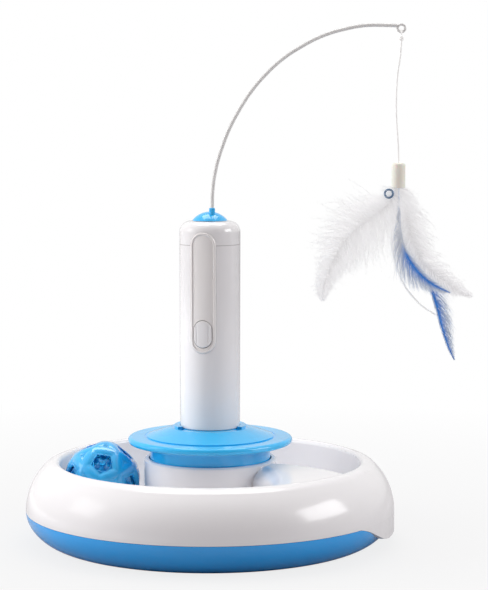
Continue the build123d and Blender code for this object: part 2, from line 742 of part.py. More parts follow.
with BuildPart() as handle_tube:
    with BuildSketch(Plane.XZ):
        with BuildLine():
            Polyline(
                (TUBE_BORE_RADIUS, TUBE_FOOT_Z),
                (TUBE_FOOT_RADIUS - TUBE_EDGE, TUBE_FOOT_Z),
                (TUBE_FOOT_RADIUS, TUBE_FOOT_Z + TUBE_EDGE),
                (TUBE_TOP_RADIUS, SEAM_Z),
                (TUBE_BORE_RADIUS, SEAM_Z),
                close=True,
            )
        make_face()
    revolve(axis=Axis.Z)
    add(face_block(*panel_size, 0, panel_seat, BASE_RADIUS), mode=Mode.SUBTRACT)
    flange_room = -BUTTON_FLANGE - BUTTON_GAP
    add(face_prism(*button_size, flange_room), mode=Mode.SUBTRACT)
finish(handle_tube.part, "handle_tube")

with BuildPart() as handle_top_cap:
    with BuildSketch(Plane.XZ):
        with BuildLine():
            Polyline(
                (TUBE_BORE_RADIUS - FIT - CAP_WALL / 2, SEAM_Z - CAP_SPIGOT),
                (TUBE_BORE_RADIUS - FIT, SEAM_Z - CAP_SPIGOT),
                (TUBE_BORE_RADIUS - FIT, SEAM_Z),
                (TUBE_TOP_RADIUS, SEAM_Z),
                (TUBE_TOP_RADIUS, CAP_TOP_Z - CAP_SHOULDER),
            )
            RadiusArc(
                (TUBE_TOP_RADIUS, CAP_TOP_Z - CAP_SHOULDER),
                (TUBE_TOP_RADIUS - CAP_SHOULDER, CAP_TOP_Z),
                -CAP_SHOULDER,
            )
            bush_seat = BUSH_RADIUS + FIT / 2
            Polyline(
                (TUBE_TOP_RADIUS - CAP_SHOULDER, CAP_TOP_Z),
                (bush_seat, CAP_TOP_Z),
                (bush_seat, CAP_TOP_Z - BUSH_LENGTH),
                (bush_seat + CAP_WALL, CAP_TOP_Z - BUSH_LENGTH),
                (bush_seat + CAP_WALL, CAP_TOP_Z - CAP_WALL),
                (TUBE_TOP_RADIUS - CAP_SHOULDER, CAP_TOP_Z - CAP_WALL),
            )
            RadiusArc(
                (TUBE_TOP_RADIUS - CAP_SHOULDER, CAP_TOP_Z - CAP_WALL),
                (TUBE_TOP_RADIUS - CAP_WALL, CAP_TOP_Z - CAP_SHOULDER),
                CAP_SHOULDER - CAP_WALL,
            )
            Polyline(
                (TUBE_TOP_RADIUS - CAP_WALL, CAP_TOP_Z - CAP_SHOULDER),
                (TUBE_TOP_RADIUS - CAP_WALL, SEAM_Z + CAP_WALL),
                (TUBE_BORE_RADIUS - FIT - CAP_WALL / 2, SEAM_Z + CAP_WALL),
                (TUBE_BORE_RADIUS - FIT - CAP_WALL / 2, SEAM_Z - CAP_SPIGOT),
            )
        make_face()
    revolve(axis=Axis.Z)
    add(face_block(*panel_size, 0, panel_seat, BASE_RADIUS), mode=Mode.SUBTRACT)
finish(handle_top_cap.part, "handle_top_cap")

with BuildPart() as front_panel:
    add(face_block(*panel_size, FIT, panel_seat + FIT, TUBE_TOP_RADIUS + PANEL_PROUD))
    field = TUBE_TOP_RADIUS + PANEL_FIELD_PROUD
    add(face_block(*panel_size, PANEL_BEAD, field, BASE_RADIUS), mode=Mode.SUBTRACT)
    add(face_prism(*button_size, -BUTTON_GAP), mode=Mode.SUBTRACT)
finish(front_panel.part, "front_panel")

# Button: an oval cap with a flange behind the panel and a stem to the switch
button_face = TUBE_TOP_RADIUS + BUTTON_PROUD
board_face = BOARD_OFFSET + BOARD_THICKNESS
plunger_face = board_face + SWITCH_BODY + SWITCH_PLUNGER
stem_face = plunger_face + BUTTON_TRAVEL + PIN_PLAY
with BuildPart() as power_button:
    add(face_block(*button_size, 0, button_back, button_face))
    flange_foot = button_back - BUTTON_FLANGE_FOOT
    flange_head = button_back + BUTTON_FLANGE_HEAD
    add(face_block(*button_size, -BUTTON_FLANGE, flange_foot, flange_head))
    with BuildSketch(FACE.offset(stem_face)):
        Circle(BUTTON_STEM_RADIUS)
    extrude(amount=button_back - stem_face)
finish(power_button.part, "power_button")

# Cells stand side by side, with the closing cap round their feet
cell_foot_z = cup_foot_z + CAP_CUP_FLOOR + CONTACT_THICKNESS + SPRING_HEIGHT
cell_top_z = cell_foot_z + CELL_LENGTH
web_z = cell_top_z + CELL_NIPPLE + CONTACT_THICKNESS
for side, name in ((-1, "battery_left"), (1, "battery_right")):
    with BuildPart() as cell:
        with BuildSketch(Plane.XZ):
            with Locations((0, cell_foot_z)):
                Rectangle(CELL_RADIUS, CELL_LENGTH, align=(Align.MIN, Align.MIN))
                nipple_top = CELL_LENGTH + CELL_NIPPLE
                Rectangle(CELL_NIPPLE_RADIUS, nipple_top, align=(Align.MIN, Align.MIN))
        revolve(axis=Axis.Z)
    finish(cell.part.moved(Location((side * CELL_SPACING / 2, 0, 0))), name)

cup_outer = TUBE_BORE_RADIUS - FIT
cup_inner = cup_outer - CAP_CUP_WALL
cup_top_z = TUBE_FOOT_Z + CAP_ABOVE_FOOT
with BuildPart() as battery_cap:
    add(ring(cup_outer, 0, cup_foot_z, cup_top_z))
    chamfer(battery_cap.edges().sort_by(Axis.Z)[0], CAP_CUP_EDGE)
    add(ring(cup_inner, 0, cup_foot_z + CAP_CUP_FLOOR, cup_top_z), mode=Mode.SUBTRACT)
    # Coin slot under the cap
    with Locations((0, 0, cup_foot_z)):
        Box(
            CELL_SPACING,
            COIN_SLOT_WIDTH,
            COIN_SLOT_DEPTH,
            align=(Align.CENTER, Align.CENTER, Align.MIN),
            mode=Mode.SUBTRACT,
        )
finish(battery_cap.part, "battery_cap")

bridge_z = cup_foot_z + CAP_CUP_FLOOR
with BuildPart() as bridge_contact:
    with BuildSketch(Plane.XY.offset(bridge_z)):
        SlotCenterToCenter(CELL_SPACING, BRIDGE_WIDTH)
    extrude(amount=CONTACT_THICKNESS)
    with Locations((-CELL_SPACING / 2, 0, bridge_z), (CELL_SPACING / 2, 0, bridge_z)):
        Cone(
            SPRING_RADIUS,
            SPRING_TIP_RADIUS,
            SPRING_HEIGHT + CONTACT_THICKNESS,
            align=(Align.CENTER, Align.CENTER, Align.MIN),
        )
finish(bridge_contact.part, "bridge_contact")

cradle_foot = cup_top_z + CRADLE_PLAY
with BuildPart() as battery_cradle:
    add(ring(cup_outer, 0, cradle_foot, web_z + CRADLE_WEB))
    with Locations((-CELL_SPACING / 2, 0, cradle_foot), (CELL_SPACING / 2, 0, cradle_foot)):
        Cylinder(
            CELL_RADIUS + CRADLE_PLAY,
            web_z - cradle_foot,
            align=(Align.CENTER, Align.CENTER, Align.MIN),
            mode=Mode.SUBTRACT,
        )
finish(battery_cradle.part, "battery_cradle")

with BuildPart() as contact_plates:
    with Locations((-CELL_SPACING / 2, 0, web_z), (CELL_SPACING / 2, 0, web_z)):
        Cylinder(PLATE_RADIUS, CONTACT_THICKNESS, align=(Align.CENTER, Align.CENTER, Align.MAX))
finish(contact_plates.part, "contact_plates")

board_foot = web_z + CRADLE_WEB
motor_low = FRAME_FOOT_Z - MOTOR_LENGTH
board_height = motor_low - BOARD_BELOW_MOTOR - board_foot
with BuildPart() as circuit_board:
    with BuildSketch(FACE.offset(BOARD_OFFSET)):
        with Locations((0, board_foot - BUTTON_Z)):
            Rectangle(BOARD_WIDTH, board_height, align=(Align.CENTER, Align.MIN))
    extrude(amount=BOARD_THICKNESS)
finish(circuit_board.part, "circuit_board")

with BuildPart() as tact_switch:
    with BuildSketch(FACE.offset(board_face)):
        Rectangle(SWITCH_SIZE, SWITCH_SIZE)
    extrude(amount=SWITCH_BODY)
    with BuildSketch(FACE.offset(board_face + SWITCH_BODY)):
        Circle(SWITCH_PLUNGER_RADIUS)
    extrude(amount=SWITCH_PLUNGER)
finish(tact_switch.part, "tact_switch")

# Drive: motor under the frame's plate, two steps of gears, and the output shaft up the middle
wheel_pitch = GEAR_MODULE * WHEEL_TEETH / 2
pinion_pitch = GEAR_MODULE * PINION_TEETH / 2
GEAR_CENTRES = wheel_pitch + pinion_pitch
first_z = FRAME_FOOT_Z + PLATE_THICKNESS + GEAR_STEP
second_z = first_z + GEAR_WIDTH + 2 * GEAR_STEP
frame_top_z = second_z + GEAR_WIDTH + GEAR_STEP


def gear(teeth, low, high, centre, turn, bore):
    """Spur gear with straight-flanked teeth; turn puts a tooth's middle at that angle."""
    pitch = GEAR_MODULE * teeth / 2
    tip = pitch + TOOTH_HEAD * GEAR_MODULE
    root = pitch - TOOTH_FOOT * GEAR_MODULE
    foot = root - GEAR_MODULE / 2
    half_pitch = pi * GEAR_MODULE / 4 * TOOTH_SHARE
    lean = tan(radians(PRESSURE_ANGLE))
    half_tip = half_pitch - TOOTH_HEAD * GEAR_MODULE * lean
    half_root = half_pitch + TOOTH_FOOT * GEAR_MODULE * lean
    with BuildSketch() as tooth:
        with BuildLine():
            Polyline(
                (foot, -half_root),
                (root, -half_root),
                (tip, -half_tip),
                (tip, half_tip),
                (root, half_root),
                (foot, half_root),
                close=True,
            )
        make_face()
    with BuildSketch() as outline:
        Circle(root)
        with PolarLocations(0, teeth, start_angle=turn):
            add(tooth.sketch)
        Circle(bore, mode=Mode.SUBTRACT)
    with BuildPart() as made:
        with BuildSketch(Plane.XY.offset(low)):
            with Locations(centre):
                add(outline.sketch)
        extrude(amount=high - low)
    return made.part


idler_place = (GEAR_CENTRES, 0)
finish(
    gear(PINION_TEETH, first_z, first_z + GEAR_WIDTH, (0, 0), 0, MOTOR_SHAFT_RADIUS),
    "motor_pinion",
)
idler_wheel = gear(
    WHEEL_TEETH, first_z, first_z + GEAR_WIDTH, idler_place, 180 / WHEEL_TEETH, PIN_RADIUS + PIN_PLAY
)
idler_pinion = gear(
    PINION_TEETH,
    first_z + GEAR_WIDTH / 2,
    second_z + GEAR_WIDTH,
    idler_place,
    0,
    PIN_RADIUS + PIN_PLAY,
)
with BuildPart() as idler_gear:
    add(idler_wheel)
    add(idler_pinion)
finish(idler_gear.part, "idler_gear")
finish(
    gear(WHEEL_TEETH, second_z, second_z + GEAR_WIDTH, (0, 0), 180 / WHEEL_TEETH, OUTPUT_RADIUS),
    "output_gear",
)

with BuildPart() as drive_motor:
    add(ring(MOTOR_RADIUS, 0, motor_low, FRAME_FOOT_Z))
    add(ring(MOTOR_NOSE_RADIUS, 0, FRAME_FOOT_Z, FRAME_FOOT_Z + MOTOR_NOSE))
    shaft_hole_z = FRAME_FOOT_Z - MOTOR_SHAFT_INSIDE
    nose_top_z = FRAME_FOOT_Z + MOTOR_NOSE
    add(ring(MOTOR_SHAFT_RADIUS + PIN_PLAY, 0, shaft_hole_z, nose_top_z), mode=Mode.SUBTRACT)
finish(drive_motor.part, "drive_motor")

with BuildPart() as motor_shaft:
    shaft_top_z = first_z + GEAR_WIDTH + GEAR_STEP / 2
    add(ring(MOTOR_SHAFT_RADIUS, 0, shaft_hole_z + PIN_PLAY, shaft_top_z))
finish(motor_shaft.part, "motor_shaft")

plate_top_z = FRAME_FOOT_Z + PLATE_THICKNESS
cover_top_z = frame_top_z + PLATE_THICKNESS


def post(radius, low, high):
    """Upright round post on the current places, low to high."""
    with Locations((0, 0, low)):
        Cylinder(radius, high - low, align=(Align.CENTER, Align.CENTER, Align.MIN))


def bored(radius, low, high):
    """Upright round hole on the current places, low to high."""
    with Locations((0, 0, low)):
        Cylinder(
            radius,
            high - low,
            align=(Align.CENTER, Align.CENTER, Align.MIN),
            mode=Mode.SUBTRACT,
        )


with BuildPart() as gear_frame:
    add(ring(cup_outer, 0, FRAME_FOOT_Z, plate_top_z))
    with PolarLocations(PILLAR_CIRCLE, PILLAR_COUNT, start_angle=PILLAR_START_ANGLE):
        post(PILLAR_RADIUS, FRAME_FOOT_Z, frame_top_z)
        bored(GEAR_SCREW_RADIUS + SCREW_PLAY, frame_top_z - GEAR_SCREW_BITE - SCREW_PLAY, frame_top_z)
    with Locations((0, 0)):
        bored(MOTOR_NOSE_RADIUS + FIT, FRAME_FOOT_Z, plate_top_z)
    with Locations((GEAR_CENTRES, 0)):
        bored(PIN_RADIUS, FRAME_FOOT_Z, plate_top_z)
finish(gear_frame.part, "gear_frame")

with BuildPart() as gear_cover:
    add(ring(cup_outer, OUTPUT_RADIUS + PIN_PLAY, frame_top_z, cover_top_z))
    with PolarLocations(PILLAR_CIRCLE, PILLAR_COUNT, start_angle=PILLAR_START_ANGLE):
        bored(GEAR_SCREW_RADIUS + SCREW_CLEARANCE, frame_top_z, cover_top_z)
    with Locations((GEAR_CENTRES, 0)):
        bored(PIN_RADIUS, frame_top_z, cover_top_z)
finish(gear_cover.part, "gear_cover")

with BuildPart() as idler_pin:
    with Locations((GEAR_CENTRES, 0)):
        post(PIN_RADIUS, FRAME_FOOT_Z, cover_top_z)
finish(idler_pin.part, "idler_pin")

with BuildPart() as gear_screws:
    with PolarLocations(PILLAR_CIRCLE, PILLAR_COUNT, start_angle=PILLAR_START_ANGLE):
        post(GEAR_SCREW_HEAD_RADIUS, cover_top_z, cover_top_z + GEAR_SCREW_HEAD)
        post(GEAR_SCREW_RADIUS, frame_top_z - GEAR_SCREW_BITE, cover_top_z)
finish(gear_screws.part, "gear_screws")

with BuildPart() as shaft_bush:
    add(ring(BUSH_RADIUS, OUTPUT_RADIUS + PIN_PLAY, CAP_TOP_Z - BUSH_LENGTH, CAP_TOP_Z))
finish(shaft_bush.part, "shaft_bush")

shaft_low = second_z - GEAR_STEP / 2
shaft_high = DOME_Z + DOME_HEIGHT * SHAFT_GRIP_SHARE
with BuildPart() as output_shaft:
    add(ring(OUTPUT_RADIUS, 0, shaft_low, shaft_high))
finish(output_shaft.part, "output_shaft")

# Blue rotor cap: a low dome with an upright boss that grips the wand
dome_ball = (DOME_RADIUS ** 2 + DOME_HEIGHT ** 2) / (2 * DOME_HEIGHT)
wand_foot_z = DOME_Z + WAND_FOOT_ABOVE_DOME
with BuildPart() as rotor_cap:
    with Locations((0, 0, DOME_Z + DOME_HEIGHT - dome_ball)):
        Sphere(dome_ball)
    with BuildSketch(Plane.XY.offset(DOME_Z)):
        Circle(2 * dome_ball)
    extrude(amount=-3 * dome_ball, mode=Mode.SUBTRACT)
    with Locations((BOSS_X, BOSS_Y, DOME_Z)):
        Cylinder(WAND_BOSS_RADIUS, WAND_BOSS_TOP, align=(Align.CENTER, Align.CENTER, Align.MIN))
    fillet(rotor_cap.edges().group_by(Axis.Z)[-1], WAND_BOSS_EDGE)
    with Locations((BOSS_X, BOSS_Y, wand_foot_z)):
        Cylinder(
            WAND_RADIUS,
            WAND_BOSS_TOP,
            align=(Align.CENTER, Align.CENTER, Align.MIN),
            mode=Mode.SUBTRACT,
        )
    add(ring(OUTPUT_RADIUS, 0, DOME_Z, shaft_high), mode=Mode.SUBTRACT)
finish(rotor_cap.part, "rotor_cap")

# Wand: sprung wire swept along runs and tangent arcs, with an eye at its tip; its route is
# given from its foot in the boss
WAND_ROUTE = [
    (0, 0),
    (0.2, 19.4),
    (3.1, 35.9),
    (11.0, 58.4),
    (25.5, 82.9),
    (44.5, 102.4),
    (70.5, 117.4),
    (96.5, 123.6),
    (118.0, 123.0),
]
EYE_BELOW_TIP = 1.7
EYE_OVERLAP = 0.48
tip_x, tip_rise = WAND_ROUTE[-1]
EYE_X = BOSS_X + tip_x + EYE_RADIUS + EYE_OVERLAP
EYE_Z = wand_foot_z + tip_rise - EYE_BELOW_TIP


def route_length(line):
    """Length of a route's runs and arcs."""
    return sum(edge.length for edge in line.edges())


def rounded_route(points):
    """Straight runs joined by tangent arcs as large as the two runs allow."""
    radii = []
    for before, at, after in zip(points, points[1:], points[2:]):
        first = Vector(*at) - Vector(*before)
        second = Vector(*after) - Vector(*at)
        half_turn = radians(first.get_angle(second)) / 2
        radii.append(0.45 * min(first.length, second.length) / tan(half_turn))
    print("arc radii", [round(radius, 1) for radius in radii])
    return FilletPolyline(*points, radius=radii)


with BuildPart() as wand:
    with BuildLine() as wand_line:
        rounded_route([(BOSS_X + x, BOSS_Y, wand_foot_z + rise) for x, rise in WAND_ROUTE])
    with BuildSketch(Plane(origin=(BOSS_X, BOSS_Y, wand_foot_z), z_dir=(0, 0, 1))):
        Circle(WAND_RADIUS)
    sweep()
    wire_volume = wand.part.volume
    with Locations(Plane(origin=(EYE_X, BOSS_Y, EYE_Z), z_dir=(0, 1, 0))):
        Torus(EYE_RADIUS, EYE_WIRE_RADIUS)
finish(wand.part, "wand")
wand_section = pi * WAND_RADIUS ** 2
print("wand volume over section times length", wire_volume / (wand_section * route_length(wand_line)))

# String: a loop runs through the eye, with the knot and the hanging run below it
eye_foot_z = EYE_Z - EYE_RADIUS
loop_wire = STRING_RADIUS * 0.75
knot_z = eye_foot_z - LOOP_RADIUS - loop_wire - LOOP_GAP - KNOT_RADIUS
string_top_z = knot_z - KNOT_RADIUS * 0.8
STRING_ROUTE = [
    (EYE_X, string_top_z),
    (EYE_X - 0.1, EYE_Z - 15.9),
    (EYE_X - 2.7, EYE_Z - 31.4),
    (EYE_X - 3.2, EYE_Z - 53.9),
    (EYE_X - 1.3, EYE_Z - 74.9),
    (EYE_X - 1.2, EYE_Z - 85.7),
]
sleeve_x = STRING_ROUTE[-1][0]
sleeve_top_z = STRING_ROUTE[-1][1]
sleeve_foot_z = sleeve_top_z - SLEEVE_LENGTH

with BuildPart() as string_loop:
    with Locations(Plane(origin=(EYE_X, BOSS_Y, eye_foot_z), z_dir=(1, 0, 0))):
        Torus(LOOP_RADIUS, loop_wire)
finish(string_loop.part, "string_loop")

with BuildPart() as string_knot:
    with Locations((EYE_X, BOSS_Y, knot_z)):
        Sphere(KNOT_RADIUS)
    with BuildSketch(Plane.XY.offset(string_top_z)):
        with Locations((EYE_X, BOSS_Y)):
            Rectangle(4 * KNOT_RADIUS, 4 * KNOT_RADIUS)
    extrude(amount=-2 * KNOT_RADIUS, mode=Mode.SUBTRACT)
finish(string_knot.part, "string_knot")

with BuildPart() as string:
    with BuildLine() as string_line:
        rounded_route([(x, BOSS_Y, z) for x, z in STRING_ROUTE])
    first_run = Vector(STRING_ROUTE[1][0] - EYE_X, 0, STRING_ROUTE[1][1] - string_top_z)
    with BuildSketch(Plane(origin=(EYE_X, BOSS_Y, string_top_z), z_dir=first_run)):
        Circle(STRING_RADIUS)
    sweep()
finish(string.part, "string")
string_length = route_length(string_line)
print("string length", string_length)
string_section = pi * STRING_RADIUS ** 2
print("string volume over section times length", string.part.volume / (string_section * string_length))

with BuildPart() as lure_sleeve:
    with Locations((sleeve_x, BOSS_Y, sleeve_foot_z)):
        Cylinder(SLEEVE_RADIUS, SLEEVE_LENGTH, align=(Align.CENTER, Align.CENTER, Align.MIN))
    fillet(lure_sleeve.edges().group_by(Axis.Z)[-1], SLEEVE_ROUND)
finish(lure_sleeve.part, "lure_sleeve")

# Feathers: thin closed blades behind one another, each quill ending under the sleeve
quill_z = sleeve_foot_z - LURE_GAP


def blade(name, layer, outline):
    """Thin feather blade from a smooth outline, in one of the layers under the sleeve."""
    level = BOSS_Y + layer * FEATHER_STEP + FEATHER_THICKNESS / 2
    with BuildPart() as made:
        with BuildSketch(Plane.XZ.offset(-level)):
            with BuildLine():
                points = [(sleeve_x + x, quill_z - z) for x, z in outline]
                Line(points[-1], points[0])
                Spline(*points)
            make_face()
        extrude(amount=FEATHER_THICKNESS)
    finish(made.part, name)


blade("plume_left", -1, [
    (-2.5, 0), (-17, 5), (-30, 9), (-40, 20), (-48, 36), (-53, 56), (-50, 74), (-44, 60),
    (-33, 43), (-20, 37), (-10, 32), (0, 20), (1.5, 0),
])
blade("plume_right", 0, [
    (-1.5, 0), (-1, 18), (4, 36), (14, 54), (30, 66), (46, 70), (36, 58), (24, 44), (18, 26),
    (13, 8), (3, 0),
])
blade("feather_stripe", -2, [
    (-1.5, 0), (-1, 14), (2, 34), (10, 52), (24, 64), (34, 67), (26, 58), (14, 46), (7, 30), (3, 12),
    (2, 0),
])
blade("feather_blue", 1, [
    (-1, 0), (-2, 20), (2, 48), (14, 74), (29, 96), (37, 111), (35, 92), (29, 76), (18, 58),
    (8, 40), (3, 18), (1.5, 0),
])
blade("bare_quill", 2, [
    (-1.6, 0), (-5, 24), (-3.6, 42), (3, 62), (14, 75), (25, 82), (14.6, 73.6), (4.4, 60.6),
    (-2.2, 41), (-3.4, 24), (0, 0),
])

with BuildPart() as clasp_ring:
    ring_x = sleeve_x - RING_RADIUS - RING_WIRE_RADIUS - RING_ASIDE
    ring_y = BOSS_Y - 2 * FEATHER_STEP
    ring_z = quill_z - RING_RADIUS - RING_WIRE_RADIUS
    with Locations(Plane(origin=(ring_x, ring_y, ring_z), z_dir=(0, 1, 0))):
        Torus(RING_RADIUS, RING_WIRE_RADIUS)
finish(clasp_ring.part, "clasp_ring")
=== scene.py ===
import random
from math import atan2, cos, pi, radians, sin, sqrt, tan, tau

import bmesh
import bpy
from mathutils import Matrix, Vector


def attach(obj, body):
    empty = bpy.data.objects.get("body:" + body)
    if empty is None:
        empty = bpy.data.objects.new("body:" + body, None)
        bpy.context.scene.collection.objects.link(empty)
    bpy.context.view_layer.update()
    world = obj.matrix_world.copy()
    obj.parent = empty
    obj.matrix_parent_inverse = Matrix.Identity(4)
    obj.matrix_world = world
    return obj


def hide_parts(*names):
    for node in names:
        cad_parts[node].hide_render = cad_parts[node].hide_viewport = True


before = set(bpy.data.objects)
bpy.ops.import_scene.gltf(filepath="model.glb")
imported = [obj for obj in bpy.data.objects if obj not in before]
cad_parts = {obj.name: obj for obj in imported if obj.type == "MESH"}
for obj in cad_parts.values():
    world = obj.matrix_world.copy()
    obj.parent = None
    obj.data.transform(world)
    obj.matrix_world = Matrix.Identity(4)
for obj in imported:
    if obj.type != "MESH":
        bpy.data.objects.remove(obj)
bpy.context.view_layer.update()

# Camera: a long lens that looks down on the toy from a little above its dock. Its place was fitted to
# the round edges of the base, the dock and the handle.
SENSOR_HEIGHT_MM = 36.0
LENS_MM = 121.72
CAMERA_PLACE = (0.02205, -1.28693, 0.28027)
CAMERA_LOOKS_DOWN = radians(5.356)
STUDIO = bpy.context.scene
STUDIO.view_settings.view_transform = "Standard"
camera_data = bpy.data.cameras.new("camera")
camera_data.sensor_fit = "VERTICAL"
camera_data.sensor_height = SENSOR_HEIGHT_MM
camera_data.lens = LENS_MM
camera_data.clip_end = 50.0
camera = bpy.data.objects.new("camera", camera_data)
camera.location = CAMERA_PLACE
camera.rotation_euler = (pi / 2 - CAMERA_LOOKS_DOWN, 0, 0)
STUDIO.collection.objects.link(camera)
STUDIO.camera = camera

# Floor: a sheet of pale paper that glows white where the camera sees it, apart from a faint shadow by
# the toy. Its colour is painted lighter on the left, a painted pool of light that the gloss of the tube
# and the tray mirrors.
FLOOR_RADIUS = 12.0
FLOOR_GREY = (0.45, 0.44, 0.45, 1)
FLOOR_WHITE = (0.95, 0.95, 0.95, 1)
BRIGHT_FROM_X = -0.2
BRIGHTEST_FROM_X = -0.5
SHADOW_RADIUS = 0.12
GLOW_RADIUS = 0.6
GLOW_BY_THE_TOY = 0.82


class Shade:
    """A value in a material's nodes. Python operators on it add Math nodes."""

    def __init__(self, tree, socket=None):
        self.tree = tree
        self.socket = socket

    def node(self, kind, inputs=(), settings=(), output=0):
        """Add one node with its settings, then its inputs, and return one of its outputs."""
        made = self.tree.nodes.new("ShaderNode" + kind)
        for name, value in dict(settings).items():
            setattr(made, name, value)
        for name, value in dict(inputs).items():
            if isinstance(value, Shade):
                self.tree.links.new(value.socket, made.inputs[name])
            else:
                made.inputs[name].default_value = value
        return Shade(self.tree, made.outputs[output])

    def maths(self, operation, *terms):
        """Add one Math node on the terms."""
        return self.node("Math", dict(enumerate(terms)), {"operation": operation})

    def __add__(self, other):
        return self.maths("ADD", self, other)

    def __radd__(self, other):
        return self.maths("ADD", other, self)

    def __sub__(self, other):
        return self.maths("SUBTRACT", self, other)

    def __rsub__(self, other):
        return self.maths("SUBTRACT", other, self)

    def __mul__(self, other):
        return self.maths("MULTIPLY", self, other)

    def __rmul__(self, other):
        return self.maths("MULTIPLY", other, self)

    def __abs__(self):
        return self.maths("ABSOLUTE", self)

    def mixed(self, low, high):
        """Colour between low and high, with this value as the share of high."""
        return self.node("Mix", {0: self, 6: low, 7: high}, {"data_type": "RGBA"}, output=2)


def new_finish(name, **settings):
    """A material whose fixed sockets are set by name; returns it and its starting point."""
    material = bpy.data.materials.new(name)
    material.use_nodes = True
    surface = material.node_tree.nodes["Principled BSDF"]
    for socket, value in settings.items():
        surface.inputs[socket.replace("_", " ")].default_value = value
    return material, Shade(material.node_tree), surface


def feed(shade, surface, socket):
    """Link a value or colour to one of the surface's sockets."""
    shade.tree.links.new(shade.socket, surface.inputs[socket])


floor_form = bmesh.new()
bmesh.ops.create_circle(floor_form, cap_ends=True, segments=64, radius=FLOOR_RADIUS)
floor_mesh = bpy.data.meshes.new("floor")
floor_form.to_mesh(floor_mesh)
floor = bpy.data.objects.new("floor", floor_mesh)
STUDIO.collection.objects.link(floor)
paper, start, surface = new_finish("floor_paper", Roughness=1.0)
# Painted light: the paper's colour runs from grey to white towards the left.
painted_light_leftward = start.node("SeparateXYZ", {"Vector": start.node("TexCoord", output=3)}, output=0)
painted_light_leftward = start.node(
    "MapRange", {"Value": painted_light_leftward, "From Min": BRIGHT_FROM_X, "From Max": BRIGHTEST_FROM_X}
)
feed(painted_light_leftward.mixed(FLOOR_GREY, FLOOR_WHITE), surface, "Base Color")
glow = start.node("Emission", {"Color": (1.0, 1.0, 1.0, 1), "Strength": 1.0})
far = start.node("VectorMath", {0: start.node("TexCoord", output=3)}, {"operation": "LENGTH"}, output=1)
far = start.node(
    "MapRange",
    {"Value": far, "From Min": SHADOW_RADIUS, "From Max": GLOW_RADIUS, "To Min": GLOW_BY_THE_TOY},
)
plain = Shade(start.tree, surface.outputs["BSDF"])
dulled = start.node("MixShader", {0: far, 1: plain, 2: glow})
seen = start.node("LightPath")
shown = start.node("MixShader", {0: seen, 1: plain, 2: dulled})
start.tree.links.new(shown.socket, start.tree.nodes["Material Output"].inputs["Surface"])
floor_mesh.materials.append(paper)

# Studio lights: a broad soft box on the left that the gloss doesn't mirror, with a small card that it
# does, one on the right and one above. The front stays dim, so the gloss fades towards the middle.
LIGHT_AIM = (0, 0, 0.10)


def soft_box(name, place, size, power, mirrored=True):
    """A rectangular studio light that points at the base's middle, seen in its gloss or not."""
    data = bpy.data.lights.new(name, "AREA")
    data.shape = "RECTANGLE"
    data.size = size[0]
    data.size_y = size[1]
    data.energy = power
    light = bpy.data.objects.new(name, data)
    light.location = place
    light.visible_glossy = mirrored
    light.rotation_euler = (Vector(LIGHT_AIM) - Vector(place)).to_track_quat("-Z", "Y").to_euler()
    STUDIO.collection.objects.link(light)


soft_box("left_box", place=(-1.25, -0.05, 0.66), size=(1.1, 1.1), power=10.5, mirrored=False)
soft_box("left_card", place=(-1.25, -0.10, 0.62), size=(0.5, 0.5), power=1.1)
soft_box("right_box", place=(1.15, -0.25, 0.58), size=(0.7, 0.46), power=4.2)
soft_box("top_box", place=(0.0, 0.45, 1.6), size=(1.3, 0.9), power=11.0)

# Sky: plain white where the camera sees it. Where it lights the toy, it is bright behind and at the
# sides and dim in front, which draws the dark band down the middle of the tube and the rim.
DIM_STRENGTH = 0.24
BRIGHT_STRENGTH = 0.73
DIM_PINK = (1.0, 0.91, 0.92, 1)
SKY_WHITE = (1.0, 1.0, 1.0, 1)
sky = bpy.data.worlds.new("sky")
sky.use_nodes = True
start = Shade(sky.node_tree)
behind = start.node("SeparateXYZ", {"Vector": start.node("TexCoord")}, output=1)
behind = start.node(
    "MapRange", {"Value": behind, "From Min": -0.8, "From Max": -0.3}, {"interpolation_type": "SMOOTHSTEP"}
)
dim = start.node("Background", {"Color": DIM_PINK, "Strength": DIM_STRENGTH})
bright = start.node("Background", {"Color": SKY_WHITE, "Strength": BRIGHT_STRENGTH})
backdrop = start.node("Background", {"Color": SKY_WHITE, "Strength": 1.0})
lit = start.node("MixShader", {0: behind, 1: dim, 2: bright})
seen = start.node("MixShader", {0: start.node("LightPath"), 1: lit, 2: backdrop})
sky.node_tree.links.new(seen.socket, sky.node_tree.nodes["World Output"].inputs["Surface"])
STUDIO.world = sky

# Lower tray: a moulded dish with a curved flank that closes the base from below. Blue glossy plastic,
# held to the shell by four screws; its CAD shape stays.
BLUE = (0.015, 0.40, 0.95)
DEEP_BLUE = (0.012, 0.36, 0.89)
PARTING_WIDTH = 0.00035
PARTING_SHADE = (0.42, 0.39, 0.39, 1)


def moulded(name, colour, worn, roughness=0.2, coat=0.45, ripple=0.05, parting=None):
    """Glossy moulded plastic: faint ripple, smudges, tone drift and, at a height, a parting line."""
    material, start, surface = new_finish(
        name, Roughness=roughness, Coat_Weight=coat, Coat_Roughness=0.05, IOR=1.58
    )
    place = start.node("TexCoord", output=3)
    drift = start.node("TexNoise", {"Vector": place, "Scale": 9.0, "Detail": 3.0})
    smudge = start.node("TexNoise", {"Vector": place, "Scale": 38.0, "Detail": 5.0, "Roughness": 0.6})
    grain = start.node("TexNoise", {"Vector": place, "Scale": 420.0, "Detail": 2.0})
    skin = drift.mixed((*colour, 1), (*worn, 1))
    if parting:
        rise = start.node("SeparateXYZ", {"Vector": place}, output=2)
        line = start.node("MapRange", {"Value": abs(rise - parting), "From Max": PARTING_WIDTH})
        skin = start.node("Mix", {0: line, 6: PARTING_SHADE, 7: skin}, {"data_type": "RGBA"}, output=2)
    feed(skin, surface, "Base Color")
    feed(roughness + 0.09 * (smudge - 0.45), surface, "Roughness")
    height = 0.8 * drift + 0.2 * grain
    bump = start.node("Bump", {"Height": height, "Strength": ripple, "Distance": 0.002})
    feed(bump, surface, "Normal")
    return material


